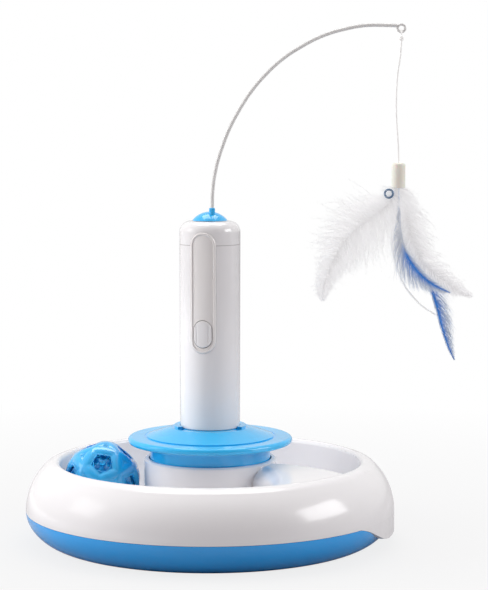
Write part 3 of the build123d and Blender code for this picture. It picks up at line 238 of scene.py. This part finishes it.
def dress(finish, *names):
    """Give CAD pieces whose shape is right their finish; their mesh stays as it is."""
    for name in names:
        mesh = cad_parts[name].data
        mesh.materials.clear()
        mesh.materials.append(finish)


blue_plastic = moulded("blue_moulded_plastic", BLUE, DEEP_BLUE)
dress(blue_plastic, "base_tray")

# Upper shell: white moulded cover with a rounded rim, an open trough for the ball and one swept arm
# that bridges the trough at the front right. Glossy plastic; its CAD shape stays.
WHITE = (0.88, 0.86, 0.868)
OFF_WHITE = (0.86, 0.835, 0.848)
white_plastic = moulded("white_moulded_plastic", WHITE, OFF_WHITE)
dress(white_plastic, "base_shell")

# Foot pads: four dark grey foam discs set into the tray's underside, so that the base doesn't slip.
# Soft and matt with a fine open grain; their CAD shape stays.
pad_foam, start, surface = new_finish("foot_foam", Roughness=0.95)
place = start.node("TexCoord", output=3)
cells = start.node("TexVoronoi", {"Vector": place, "Scale": 2600.0})
feed(cells.mixed((0.025, 0.025, 0.027, 1), (0.05, 0.05, 0.052, 1)), surface, "Base Color")
feed(start.node("Bump", {"Height": cells, "Strength": 0.6, "Distance": 0.0002}), surface, "Normal")
dress(pad_foam, "foot_pads")

# Screws and pins: zinc-plated steel, lightly brushed. The screws hold the tray, the dock and the gear
# cover; the shafts, the idler's pin and the bell's pellet have the same bright finish.
zinc, start, surface = new_finish("zinc_steel", Metallic=1.0, Roughness=0.32)
place = start.node("TexCoord", output=3)
brushing = start.node("TexNoise", {"Vector": place, "Scale": 900.0, "Detail": 3.0})
feed(brushing.mixed((0.52, 0.52, 0.54, 1), (0.66, 0.66, 0.67, 1)), surface, "Base Color")
feed(0.22 + 0.25 * brushing, surface, "Roughness")
dress(zinc, "shell_screws", "dock_screws", "gear_screws")
dress(zinc, "idler_pin", "motor_shaft", "output_shaft", "bell_pellet")

# Dock: blue turned moulding on the hub, with a broad flange, a low cone and an open collar round the
# handle's foot. Same plastic as the tray, a little glossier; its blue is painted lighter and more cyan
# than the tray's, painted light for the glare on its upward faces. Its CAD shape stays.
DOCK_BLUE = (0.025, 0.53, 0.98)
DEEP_DOCK_BLUE = (0.02, 0.48, 0.94)
dock_plastic = moulded(
    "dock_moulded_plastic", DOCK_BLUE, DEEP_DOCK_BLUE, roughness=0.14, coat=0.4, ripple=0.03
)
dress(dock_plastic, "handle_dock")

# Ball: blue lattice ball moulded in two halves that snap together. Six crowned bands run round it on
# great circles and flow into each other where they cross, with five-sided holes between them.
BALL_RADIUS = 0.0245
BALL_WALL = 0.0022
BAND_WIDTH = 0.0084
BAND_CUTS = 9
CROWN_HEIGHT = 0.0013
CROWN_POWER = 2.5
SEAM_DEPTH = 0.0003
SEAM_REACH = 1e-4
# The flat form that the bands start from has three-sided and five-sided faces. For each kind: sides,
# inner radius, and distance from the middle, as shares of the radius that the corners lie on.
FACE_KINDS = ((3, 0.1784, 0.9342), (5, 0.4253, 0.8507))
BALL_MIDDLE = Vector((-0.07045, 0, 0.0393))
BALL_TURN = Matrix.Rotation(radians(53.5), 3, "X") @ Matrix.Rotation(radians(3.2), 3, "Y")
BALL_TURN = BALL_TURN @ Matrix.Rotation(radians(45), 3, "Z")
BALL_BLUE = (0.025, 0.50, 0.97)
DEEP_BALL_BLUE = (0.02, 0.45, 0.93)
lattice_plastic = moulded("ball_moulded_plastic", BALL_BLUE, DEEP_BALL_BLUE, roughness=0.12, coat=1.0)


def place_piece(name, form, finish, body, node, crease):
    """Turn a bmesh into a finished piece that rides on its body in place of a CAD node."""
    mesh = bpy.data.meshes.new(name)
    form.to_mesh(mesh)
    form.free()
    mesh.shade_smooth()
    mesh.set_sharp_from_angle(angle=radians(crease))
    piece = bpy.data.objects.new(name, mesh)
    STUDIO.collection.objects.link(piece)
    mesh.materials.append(finish)
    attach(piece, body)
    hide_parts(node)


def lattice_half(up):
    """One half of the ball round the origin, its pole in the middle of a five-sided hole."""
    form = bmesh.new()
    bmesh.ops.create_icosphere(form, subdivisions=1, radius=BALL_RADIUS)
    poles = [vertex.co.normalized() for vertex in form.verts]
    bmesh.ops.bevel(
        form,
        geom=form.verts[:],
        offset=50,
        offset_type="PERCENT",
        affect="VERTICES",
        segments=1,
        profile=0.5,
        material=-1,
    )
    bmesh.ops.remove_doubles(form, verts=form.verts, dist=1e-5)
    # Known fault: the inset is reckoned for corners on the ball's surface, but they lie at 0.85 of it. So
    # the bands come out about 10 mm wide and fold over at the three-sided holes, which close. There the
    # wall's thickening throws vertices far off, and thin scraps of it end up across the ball's hollow.
    for sides, side_share, face_share in FACE_KINDS:
        lean = atan2(side_share, face_share)
        hole = face_share * tan(lean - BAND_WIDTH / 2 / BALL_RADIUS)
        rims = [face for face in form.faces if len(face.verts) == sides]
        inset = (side_share - hole) * BALL_RADIUS
        bmesh.ops.inset_individual(form, faces=rims, thickness=inset, use_even_offset=True)
    unwanted = [
        face
        for face in form.faces
        if len(face.verts) != 4 or up * face.calc_center_median().z < 0
    ]
    bmesh.ops.delete(form, geom=unwanted, context="FACES")
    bmesh.ops.subdivide_edges(form, edges=form.edges, cuts=BAND_CUTS, use_grid_fill=True)
    for vertex in form.verts:
        vertex.co = vertex.co.normalized() * BALL_RADIUS
    bmesh.ops.recalc_face_normals(form, faces=form.faces)
    if sum(face.normal.dot(face.calc_center_median()) for face in form.faces) < 0:
        bmesh.ops.reverse_faces(form, faces=form.faces)
    bmesh.ops.solidify(form, geom=form.faces[:], thickness=BALL_WALL)
    for vertex in form.verts:
        ray = vertex.co.normalized()
        if vertex.co.length < BALL_RADIUS - BALL_WALL / 2:
            vertex.co = ray * (BALL_RADIUS - BALL_WALL)
            continue
        crown = 0.0
        for pole in poles:
            across = abs(ray.dot(pole)) * BALL_RADIUS / (BAND_WIDTH / 2)
            if across < 1:
                crown = max(crown, 1 - across ** CROWN_POWER)
        seam = SEAM_DEPTH if abs(ray.z) * BALL_RADIUS < SEAM_REACH else 0
        vertex.co = ray * (BALL_RADIUS - CROWN_HEIGHT * (1 - crown) - seam)
    for vertex in form.verts:
        vertex.co = BALL_TURN @ vertex.co + BALL_MIDDLE
    bmesh.ops.recalc_face_normals(form, faces=form.faces)
    return form


for half, up in (("upper", 1), ("lower", -1)):
    place_piece(
        "ball_" + half,
        lattice_half(up),
        lattice_plastic,
        body="ball",
        node="ball_cage_" + half,
        crease=30,
    )

# Bell: a small shell of bright chromed steel with a slot below, loose in the ball, where its pellet
# makes it ring. A little haze dulls the chrome; its CAD shape stays.
chrome, start, surface = new_finish("bell_chrome", Metallic=0.7, Roughness=0.2)
place = start.node("TexCoord", output=3)
haze = start.node("TexNoise", {"Vector": place, "Scale": 160.0, "Detail": 4.0})
feed(haze.mixed((0.84, 0.84, 0.86, 1), (0.92, 0.92, 0.94, 1)), surface, "Base Color")
feed(0.07 + 0.16 * haze, surface, "Roughness")
dress(chrome, "bell_shell")

# Handle: white tube with its closed top, which meets it at a parting line, and the cap that closes its
# foot. The same white plastic as the base with a smoother skin; CAD shapes stay.
SEAM_HEIGHT = 0.1928
handle_plastic = moulded(
    "handle_moulded_plastic", WHITE, OFF_WHITE, roughness=0.13, coat=1.0, ripple=0.03, parting=SEAM_HEIGHT
)
dress(handle_plastic, "handle_tube", "handle_top_cap", "battery_cap")

# Front panel: long white oval inlay that follows the tube, with a round bead along its edge, a plain
# field and an opening for the button. Same plastic as the handle, a little warmer.
TUBE_FOOT = 0.0737
TUBE_FOOT_RADIUS = 0.0194
TUBE_TOP_RADIUS = 0.0197
FACE_TURN = radians(13)
PANEL_MIDDLE = 0.1625
PANEL_HALF_WIDTH = 0.0084
PANEL_STRAIGHT = 0.0305
PANEL_DEPTH = 0.0010
BEAD_WIDTH = 0.0018
BEAD_PROUD = 0.0008
BEAD_STEPS = 12
FIELD_PROUD = 0.00015
FIELD_STEPS = 8
OVAL_SEGMENTS = 160
BUTTON_MIDDLE = 0.1361
BUTTON_HALF = (0.0058, 0.0087)
BUTTON_GAP = 0.00035
outward = Vector((-sin(FACE_TURN), -cos(FACE_TURN), 0))
sideways = Vector((cos(FACE_TURN), -sin(FACE_TURN), 0))


def tube_radius(height):
    """Radius of the handle at a height: the tube widens a little up to its seam."""
    share = min(1.0, (height - TUBE_FOOT) / (SEAM_HEIGHT - TUBE_FOOT))
    return TUBE_FOOT_RADIUS + (TUBE_TOP_RADIUS - TUBE_FOOT_RADIUS) * share


def oval(share, half_width, straight):
    """Point at a share of the way round an upright oval with straight sides."""
    quarter, part = divmod(4 * (share % 1), 1)
    way = 1 if quarter < 2 else -1
    if quarter % 2:
        return Vector((-way * half_width, way * straight * (1 - 2 * part)))
    return Vector((way * half_width * cos(pi * part), way * (straight + half_width * sin(pi * part))))


panel_rows = [(0.0, 0.0, -PANEL_DEPTH)]
for step in range(BEAD_STEPS + 1):
    turn = pi * step / BEAD_STEPS
    proud = BEAD_PROUD * sin(turn) + FIELD_PROUD * step / BEAD_STEPS
    panel_rows.append((BEAD_WIDTH / 2 * (1 - cos(turn)), 0.0, proud))
for step in range(1, FIELD_STEPS + 1):
    panel_rows.append((BEAD_WIDTH, step / FIELD_STEPS, FIELD_PROUD))
panel_rows += [(BEAD_WIDTH, 1.0, -PANEL_DEPTH), panel_rows[0]]
panel_form = bmesh.new()
bmesh.ops.create_grid(panel_form, x_segments=OVAL_SEGMENTS, y_segments=len(panel_rows) - 1, size=0.5)
for vertex in panel_form.verts:
    inset, inwards, proud = panel_rows[round((vertex.co.y + 0.5) * (len(panel_rows) - 1))]
    share = vertex.co.x + 0.5
    edge = oval(share, PANEL_HALF_WIDTH - inset, PANEL_STRAIGHT)
    opening = oval(share, BUTTON_HALF[0] + BUTTON_GAP, BUTTON_HALF[1] - BUTTON_HALF[0])
    opening.y += BUTTON_MIDDLE - PANEL_MIDDLE
    spot = edge.lerp(opening, inwards)
    rise = PANEL_MIDDLE + spot.y
    reach = sqrt(tube_radius(rise) ** 2 - spot.x ** 2) + proud
    vertex.co = outward * reach + sideways * spot.x + Vector((0, 0, rise))
bmesh.ops.remove_doubles(panel_form, verts=panel_form.verts, dist=1e-6)
bmesh.ops.recalc_face_normals(panel_form, faces=panel_form.faces)
PANEL_WHITE = (0.88, 0.845, 0.835)
PANEL_OFF_WHITE = (0.86, 0.82, 0.81)
panel_plastic = moulded(
    "panel_moulded_plastic", PANEL_WHITE, PANEL_OFF_WHITE, roughness=0.17, coat=1.0, ripple=0.02
)
place_piece("panel_inlay", panel_form, panel_plastic, "handle", "front_panel", crease=35)

# Button: white plastic key in the panel's opening, with rounded ends, a soft edge and two shallow
# creases down its face. It slides in and presses the switch behind it.
BUTTON_PROUD = 0.0010
BUTTON_EDGE = 0.0007
BUTTON_DEPTH = 0.0032
CREASE_SIDE = 0.0039
CREASE_DEPTH = 0.00035
CREASE_WIDTH = 0.0005
CREASE_SHORT_OF_TIP = 0.003
button_form = bmesh.new()
bmesh.ops.create_grid(button_form, x_segments=64, y_segments=72, size=1.0)
for vertex in button_form.verts:
    ring = max(abs(vertex.co.x), abs(vertex.co.y))
    if ring > 0:
        side, rise = vertex.co.x / ring * BUTTON_HALF[0], vertex.co.y / ring * BUTTON_HALF[1]
        straight = BUTTON_HALF[1] - BUTTON_HALF[0]
        if abs(rise) > straight:
            tip = Vector((side, abs(rise) - straight))
            tip = tip.normalized() * BUTTON_HALF[0]
            side, rise = tip.x, (tip.y + straight) * (1 if rise > 0 else -1)
        side, rise = side * ring, rise * ring
    else:
        side, rise = 0.0, 0.0
    inner = min(1.0, (1 - ring) * BUTTON_HALF[0] / BUTTON_EDGE)
    round_over = BUTTON_EDGE * (1 - sqrt(1 - (1 - inner) ** 2))
    crease = CREASE_DEPTH * max(0.0, 1 - ((abs(side) - CREASE_SIDE) / CREASE_WIDTH) ** 2)
    crease = crease * min(1.0, inner * 2) if abs(rise) < BUTTON_HALF[1] - CREASE_SHORT_OF_TIP else 0.0
    reach = sqrt(tube_radius(BUTTON_MIDDLE) ** 2 - side ** 2) + BUTTON_PROUD - round_over - crease
    vertex.co = outward * reach + sideways * side + Vector((0, 0, BUTTON_MIDDLE + rise))
skin = bmesh.ops.extrude_face_region(button_form, geom=button_form.faces[:])["geom"]
pushed = [item for item in skin if isinstance(item, bmesh.types.BMVert)]
bmesh.ops.translate(button_form, verts=pushed, vec=-outward * BUTTON_DEPTH)
bmesh.ops.recalc_face_normals(button_form, faces=button_form.faces)
place_piece("button_key", button_form, handle_plastic, "button", "power_button", crease=40)

# Cells: two AA cells side by side in the handle. A plain dark film covers each steel can, up to a
# paler band at its head; their CAD shape stays.
PALE_BAND_FROM = 0.1
PALE_BAND_BLUR = 0.0005
cell_jacket, start, surface = new_finish("cell_jacket_film", Roughness=0.3, Metallic=0.4)
place = start.node("TexCoord", output=3)
height = start.node("SeparateXYZ", {"Vector": place}, output=2)
band = start.node(
    "MapRange", {"Value": height, "From Min": PALE_BAND_FROM - PALE_BAND_BLUR, "From Max": PALE_BAND_FROM}
)
feed(band.mixed((0.10, 0.12, 0.15, 1), (0.42, 0.45, 0.50, 1)), surface, "Base Color")
dress(cell_jacket, "battery_left", "battery_right")

# Contacts: the thin plates at the head of the cells, the bridge in the cap and the bush of the output
# shaft. Plain brass with a light tarnish, pressed in; their CAD shape stays.
brass, start, surface = new_finish("contact_brass", Metallic=1.0, Roughness=0.28)
place = start.node("TexCoord", output=3)
tarnish = start.node("TexNoise", {"Vector": place, "Scale": 240.0, "Detail": 4.0})
feed(tarnish.mixed((0.62, 0.50, 0.27, 1), (0.80, 0.70, 0.45, 1)), surface, "Base Color")
dress(brass, "contact_plates", "bridge_contact", "shaft_bush")

# Inner frame: the cell cradle, the switch's case and the gear frame with its cover. Matt light grey
# plastic with a faint mottle, as moulded parts that nobody sees have; CAD shapes stay.
inner_plastic, start, surface = new_finish("inner_matt_plastic", Roughness=0.55)
place = start.node("TexCoord", output=3)
mottle = start.node("TexNoise", {"Vector": place, "Scale": 70.0, "Detail": 3.0})
feed(mottle.mixed((0.50, 0.51, 0.51, 1), (0.57, 0.58, 0.58, 1)), surface, "Base Color")
feed(0.45 + 0.2 * mottle, surface, "Roughness")
dress(inner_plastic, "battery_cradle", "tact_switch", "gear_frame", "gear_cover")

# Circuit board: a thin glass-fibre board behind the button that carries the switch. Green solder mask
# with a faint pattern of copper runs under it; its CAD shape stays.
board_mask, start, surface = new_finish("board_mask", Roughness=0.35, Coat_Weight=0.4)
place = start.node("TexCoord", output=3)
copper = start.node("TexBrick", {"Vector": place, "Scale": 260.0, "Mortar Size": 0.06}, output=1)
feed(copper.mixed((0.008, 0.075, 0.03, 1), (0.02, 0.13, 0.055, 1)), surface, "Base Color")
dress(board_mask, "circuit_board")

# Motor: small motor in a drawn steel can, held in the gear frame. The steel is brushed round its
# axis; its CAD shape stays.
motor_can, start, surface = new_finish("motor_can_steel", Metallic=1.0, Roughness=0.3)
place = start.node("TexCoord", output=3)
rings = start.node("TexWave", {"Vector": place, "Scale": 300.0, "Distortion": 3.0}, {"bands_direction": "Z"})
feed(0.24 + 0.14 * rings, surface, "Roughness")
feed(rings.mixed((0.55, 0.56, 0.58, 1), (0.64, 0.65, 0.67, 1)), surface, "Base Color")
dress(motor_can, "drive_motor")

# Gears: pinion, idler and output wheel that slow the motor down for the rotor. Natural acetal, matt
# and slightly see-through; CAD shapes stay.
acetal, start, surface = new_finish("gear_acetal", Roughness=0.42, Subsurface_Weight=0.1)
place = start.node("TexCoord", output=3)
cloud = start.node("TexNoise", {"Vector": place, "Scale": 120.0, "Detail": 2.0})
feed(cloud.mixed((0.76, 0.76, 0.70, 1), (0.83, 0.83, 0.78, 1)), surface, "Base Color")
dress(acetal, "motor_pinion", "idler_gear", "output_gear")

# Rotor cap: small dome on top of the handle that the output shaft turns, with a boss that grips the
# wand. Blue glossy plastic; its CAD shape stays.
DOME_BLUE = (0.03, 0.50, 0.97)
DEEP_DOME_BLUE = (0.025, 0.46, 0.92)
dome_plastic = moulded("dome_moulded_plastic", DOME_BLUE, DEEP_DOME_BLUE, roughness=0.14)
dress(dome_plastic, "rotor_cap")

# Wand: sprung steel wire in an arc, with an eye bent at its tip, that stands in the rotor's boss. Its
# satin white coat is faintly uneven; its CAD shape stays.
wand_coat, start, surface = new_finish("wand_coat", Roughness=0.42, Coat_Weight=0.2)
place = start.node("TexCoord", output=3)
lay = start.node("TexNoise", {"Vector": place, "Scale": 120.0, "Detail": 2.0})
feed(lay.mixed((0.74, 0.725, 0.715, 1), (0.80, 0.79, 0.78, 1)), surface, "Base Color")
feed(start.node("Bump", {"Height": lay, "Strength": 0.05, "Distance": 0.0003}), surface, "Normal")
dress(wand_coat, "wand")

# String: thin twisted thread that hangs from the wand's eye to the lure's sleeve. It is the toy's
# one loose cord, tied with a knot under the eye and held in the sleeve.
STRING_WIDTH = 0.0012
HANG_Y = -0.005
STRING_ROUTE = [
    (0.12238, 0.32299),
    (0.12228, 0.315),
    (0.11968, 0.2995),
    (0.11918, 0.277),
    (0.12108, 0.256),
    (0.12118, 0.2452),
]
string_data = bpy.data.curves.new("hanging_string", "CURVE")
string_data.dimensions = "3D"
string_data.bevel_depth = STRING_WIDTH / 2
string_data.bevel_resolution = 3
string_data.resolution_u = 12
string_data.use_fill_caps = True
run = string_data.splines.new("NURBS")
run.points.add(len(STRING_ROUTE) - 1)
for point, (x, z) in zip(run.points, STRING_ROUTE):
    point.co = (x, HANG_Y, z, 1)
run.order_u = 3
run.use_endpoint_u = True
string = bpy.data.objects.new("hanging_string", string_data)
STUDIO.collection.objects.link(string)
# The thread's finish glows a little: painted light that brightens the string, its loop and its knot.
string_finish, start, surface = new_finish(
    "twisted_thread_painted_glow", Roughness=0.85, Emission_Color=(1.0, 0.98, 0.96, 1), Emission_Strength=0.2
)
place = start.node("TexCoord", output=3)
twist = start.node(
    "TexWave", {"Vector": place, "Scale": 420.0, "Distortion": 1.5}, {"bands_direction": "Z"}
)
feed(twist.mixed((0.80, 0.79, 0.78, 1), (0.93, 0.92, 0.91, 1)), surface, "Base Color")
feed(start.node("Bump", {"Height": twist, "Strength": 0.5, "Distance": 0.0003}), surface, "Normal")
string_data.materials.append(string_finish)
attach(string, "lure")
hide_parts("string")
dress(string_finish, "string_loop", "string_knot")

# Sleeve: short tube over the string's end, with the quills under its mouth, which holds the lure
# together. Cream plastic, a little see-through; its CAD shape stays.
sleeve_plastic, start, surface = new_finish("sleeve_cream", Roughness=0.38, Subsurface_Weight=0.12)
place = start.node("TexCoord", output=3)
cream = start.node("TexNoise", {"Vector": place, "Scale": 90.0, "Detail": 3.0})
feed(cream.mixed((0.80, 0.78, 0.69, 1), (0.88, 0.86, 0.79, 1)), surface, "Base Color")
dress(sleeve_plastic, "lure_sleeve")

# Clasp ring: small closed ring of wire beside the sleeve's mouth, in front of the white down. It is
# covered in blue-grey enamel, a little worn; its CAD shape stays.
enamel, start, surface = new_finish("clasp_enamel", Roughness=0.25, Metallic=0.5)
place = start.node("TexCoord", output=3)
wear = start.node("TexNoise", {"Vector": place, "Scale": 700.0, "Detail": 3.0})
feed(wear.mixed((0.13, 0.22, 0.36, 1), (0.25, 0.36, 0.50, 1)), surface, "Base Color")
dress(enamel, "clasp_ring")

# White down: two fluffy white feathers, soft and matt, each with a thin quill, loose barbs on both sides
# and short barbules along each barb. The quills end under the sleeve. A little emission stands in for
# the light that passes through the barbs. Feathers are laid out in mm from the sleeve's foot.
SLEEVE_FOOT = Vector((0.12118, 0, 0.2289))
MM = 1000
BARB_STEPS = 8
BARB_WIDTH = 0.34
BARB_CROWDING = 0.92
BARB_TAPER = 0.6
LIFT_POWER = 0.7
LONG_BARB_CHANCE = 0.05
BARBULE_STEPS = 2
BARBULE_WIDTH = 0.14
QUILL_STEPS = 40
QUILL_SIDES = 8
QUILL_TIP = 0.06
QUILL_TAPER = 0.7
SPINE_STEP = 0.01


class Strand:
    """A barb or barbule: an arc in the feather's plane, in mm, that also leaves that plane."""

    def __init__(self, root, turn, bend, length, level, lift, tilt, marks):
        self.root, self.turn, self.bend, self.length = root, turn, bend, length
        self.level, self.lift, self.tilt, self.marks = level, lift, tilt, marks

    def heading(self, share):
        """Direction at a share of the way along."""
        angle = self.turn + self.bend * share
        return Vector((cos(angle), sin(angle)))

    def point(self, share):
        """Place in the feather's plane at a share of the way along."""
        angle = self.turn + self.bend * share
        arc = Vector((sin(angle) - sin(self.turn), cos(self.turn) - cos(angle)))
        return self.root + arc * self.length / self.bend

    def height(self, share):
        """Place across the feather's plane at a share of the way along."""
        return self.level + self.lift * share ** LIFT_POWER


def smoothed(points, share):
    """Point at a share of the way along a Catmull-Rom curve through the points."""
    spans = len(points) - 1
    index = min(int(share * spans), spans - 1)
    part = share * spans - index
    around = [points[min(max(index + step, 0), spans)] for step in (-1, 0, 1, 2)]
    shares = (
        -part / 2 + part ** 2 - part ** 3 / 2,
        1 - 2.5 * part ** 2 + 1.5 * part ** 3,
        part / 2 + 2 * part ** 2 - 1.5 * part ** 3,
        part ** 3 / 2 - part ** 2 / 2,
    )
    return Vector([sum(weight * point[axis] for weight, point in zip(shares, around)) for axis in (0, 1)])


def way_ahead(spine, share):
    """Short step along the spine at a share of the way."""
    return smoothed(spine, min(share + SPINE_STEP, 1.0)) - smoothed(spine, max(share - SPINE_STEP, 0.0))


def empty_feather():
    """A bmesh whose vertices carry what the feathers' materials read."""
    form = bmesh.new()
    for layer in ("side", "run", "tone"):
        form.verts.layers.float.new(layer)
    return form


def add_ribbons(form, strands, steps, breadth):
    """One tapering ribbon for each strand, all cut from a single grid."""
    columns = 2 * len(strands) - 1
    grid = bmesh.ops.create_grid(form, x_segments=columns, y_segments=steps, size=0.5)["verts"]
    faces = {face for vertex in grid for face in vertex.link_faces}
    between = [face for face in faces if int((face.calc_center_median().x + 0.5) * columns) % 2]
    bmesh.ops.delete(form, geom=between, context="FACES_ONLY")
    for vertex in grid:
        column = round((vertex.co.x + 0.5) * columns)
        share = vertex.co.y + 0.5
        strand = strands[column // 2]
        heading = strand.heading(share)
        half = breadth / 2 * (1 - share) ** BARB_TAPER * (1 if column % 2 else -1)
        spot = strand.point(share) + Vector((heading.y, -heading.x)) * half * cos(strand.tilt)
        height = strand.height(share) + half * sin(strand.tilt)
        for layer, mark in zip(("side", "run", "tone"), strand.marks):
            vertex[form.verts.layers.float[layer]] = mark * (share if layer == "side" else 1)
        vertex.co = SLEEVE_FOOT + Vector((spot.x, height, -spot.y)) / MM


def add_quill(form, spine, level, thick, tip):
    """A rod along the spine that tapers from a thick to a tip radius, rolled up from a grid."""
    shaft = bmesh.ops.create_grid(form, x_segments=QUILL_SIDES, y_segments=QUILL_STEPS, size=0.5)["verts"]
    for vertex in shaft:
        turn = (vertex.co.x + 0.5) * tau
        share = vertex.co.y + 0.5
        ahead = way_ahead(spine, share)
        ahead.normalize()
        radius = (thick - tip) * (1 - share) ** QUILL_TAPER + tip
        spot = smoothed(spine, share) + Vector((ahead.y, -ahead.x)) * radius * cos(turn)
        vertex[form.verts.layers.float["run"]] = share
        vertex[form.verts.layers.float["tone"]] = 0.5
        vertex.co = SLEEVE_FOOT + Vector((spot.x, level + radius * sin(turn), -spot.y)) / MM
    bmesh.ops.remove_doubles(form, verts=shaft, dist=1e-7)


def feather(spine, reach, level, barbs, angles, loose, depth, barbules, seed, thick):
    """Build one feather along its spine.

    Reach is how far the barbs stand out, as (left, right) pairs along the spine. Angles are a barb's
    lean at its root and at its tip. Loose, from 0 to 1, sets how much the barbs stray, and depth how
    far they leave the feather's level.
    """
    chance = random.Random(seed)
    form = empty_feather()
    stretch = radians(angles[0] - angles[1]) / (cos(radians(angles[1])) - cos(radians(angles[0])))
    strands = []
    for index in range(barbs):
        side = 1 if index % 2 else -1
        share = ((index + chance.random()) / barbs) ** BARB_CROWDING
        ahead = way_ahead(spine, share)
        first = radians(angles[0] + loose * chance.uniform(-28, 28))
        last = radians(angles[1] + loose * chance.uniform(-35, 35)) - 1e-3
        wide = smoothed(reach, share)[0 if side > 0 else 1] * (1 + loose * chance.uniform(-0.5, 0.25))
        length = wide * stretch
        if chance.random() < LONG_BARB_CHANCE:
            length *= 1 + loose * 0.4
        turn = atan2(ahead.y, ahead.x) + side * first
        marks = (-side, share, chance.random())
        lift = depth * chance.uniform(-1, 1)
        bend = side * (last - first)
        root = smoothed(spine, share)
        strands.append(Strand(root, turn, bend, length, level, lift, chance.uniform(-0.9, 0.9), marks))
    add_ribbons(form, strands, BARB_STEPS, BARB_WIDTH)
    tufts = []
    for strand in strands:
        for index in range(barbules):
            share = (index + chance.random()) / barbules
            lean = chance.uniform(0.5, 1.0) * (1 if index % 2 else -1)
            turn = strand.turn + strand.bend * share + lean
            length = chance.uniform(0.8, 2.2)
            lift = chance.uniform(-0.7, 0.7)
            root, height = strand.point(share), strand.height(share)
            tufts.append(Strand(root, turn, -lean / 2, length, height, lift, 0.0, strand.marks))
    if tufts:
        add_ribbons(form, tufts, BARBULE_STEPS, BARBULE_WIDTH)
    add_quill(form, spine, level, thick, QUILL_TIP)
    return form


down, start, surface = new_finish(
    "white_down", Roughness=0.95, Emission_Color=(0.97, 0.96, 0.97, 1), Emission_Strength=0.13
)
tone = start.node("Attribute", settings={"attribute_name": "tone"}, output=2)
feed(tone.mixed((0.95, 0.945, 0.95, 1), (0.99, 0.99, 0.992, 1)), surface, "Base Color")
marabou_form = feather(
    spine=[(-1, -1), (-6, 9), (-15, 17), (-26, 25), (-36, 36), (-43, 50), (-47.5, 63), (-48.5, 71)],
    reach=[(6, 10), (12, 16), (17, 19), (16, 19), (12, 13), (7, 7), (4, 3.5), (0.4, 0.4)],
    level=-6.75,
    barbs=1500,
    angles=(70, 40),
    loose=1.0,
    depth=4.5,
    barbules=14,
    seed=11,
    thick=0.2,
)
place_piece("left_marabou", marabou_form, down, "lure", "plume_left", crease=60)
plume_form = feather(
    spine=[(1, -1), (3, 10), (6, 22), (9, 34), (16, 48), (27, 58), (38, 65), (47, 69)],
    reach=[(6, 8), (10, 11), (12, 11.5), (12, 10), (9, 9), (6, 6.5), (2.5, 3), (0.2, 0.2)],
    level=-5.0,
    barbs=1300,
    angles=(58, 25),
    loose=0.75,
    depth=2.6,
    barbules=8,
    seed=23,
    thick=0.2,
)
place_piece("right_plume", plume_form, down, "lure", "plume_right", crease=60)

# Dyed feathers: two narrow feathers with stiffer barbs, dyed blue along the quill and fading to a pale
# blue at both edges. Their upper part is undyed, and their quills end under the sleeve.
DYE_BLUE = (0.06, 0.33, 0.95, 1)
EDGE_BLUE = (0.80, 0.87, 0.98, 1)
UNDYED = (0.83, 0.87, 0.94, 1)
UNDYED_SHARE = 0.32
DYED_FROM_SHARE = 0.46
dyed, start, surface = new_finish("dyed_feather", Roughness=0.8)
side = start.node("Attribute", settings={"attribute_name": "side"}, output=2)
tone = start.node("Attribute", settings={"attribute_name": "tone"}, output=2)
run = start.node("Attribute", settings={"attribute_name": "run"}, output=2)
fade = start.node("MapRange", {"Value": abs(side) + 0.2 * tone, "From Min": 0.1, "From Max": 0.7})
dyed_share = start.node("MapRange", {"Value": run, "From Min": UNDYED_SHARE, "From Max": DYED_FROM_SHARE})
tint = dyed_share.mixed(UNDYED, fade.mixed(DYE_BLUE, EDGE_BLUE))
feed(tint, surface, "Base Color")
stripe_form = feather(
    spine=[
        (0, -1), (0.5, 14), (1, 28), (3.2, 38), (7, 45.5), (12, 52.5), (18.6, 59), (26, 63.5), (33.5, 67)
    ],
    reach=[(0.4, 0.4), (2, 0.8), (6, 1.5), (9, 2.5), (8.5, 3), (6, 3), (4, 2.5), (2, 1.5), (0.3, 0.3)],
    level=-8.5,
    barbs=800,
    angles=(38, 14),
    loose=0.35,
    depth=0.5,
    barbules=0,
    seed=37,
    thick=0.4,
)
place_piece("stripe_feather", stripe_form, dyed, "lure", "feather_stripe", crease=60)
blue_form = feather(
    spine=[(0, -1), (1, 18), (5.5, 38), (14, 53), (21.5, 65), (25.5, 77), (29, 90), (33, 102), (37, 111)],
    reach=[(1, 1), (2, 2), (2, 3), (2, 4), (1.6, 7.0), (1.4, 6.8), (1.2, 4.6), (1.0, 2.4), (0.3, 0.4)],
    level=-3.25,
    barbs=900,
    angles=(34, 12),
    loose=0.35,
    depth=0.5,
    barbules=0,
    seed=41,
    thick=0.4,
)
place_piece("blue_feather", blue_form, dyed, "lure", "feather_blue", crease=60)

# Bare quill: the shaft of a feather stripped of its barbs, a thin rod of white horn that tapers and
# curves out behind the plumes. It ends under the sleeve with the feathers.
QUILL_SPINE = [(-1, 0), (-4.2, 24), (-3, 41.5), (3.6, 61), (14.3, 74.5), (25, 82)]
# The horn glows a little: painted light that keeps the thin rod white.
horn, start, surface = new_finish(
    "bare_horn_painted_glow", Roughness=0.35, Emission_Color=(1.0, 1.0, 0.98, 1), Emission_Strength=0.25
)
place = start.node("TexCoord", output=3)
streak = start.node("TexNoise", {"Vector": place, "Scale": 150.0, "Detail": 2.0})
feed(streak.mixed((0.80, 0.80, 0.79, 1), (0.88, 0.88, 0.88, 1)), surface, "Base Color")
quill_form = empty_feather()
add_quill(quill_form, QUILL_SPINE, level=-1.5, thick=0.95, tip=0.6)
place_piece("stripped_quill", quill_form, horn, "lure", "bare_quill", crease=60)
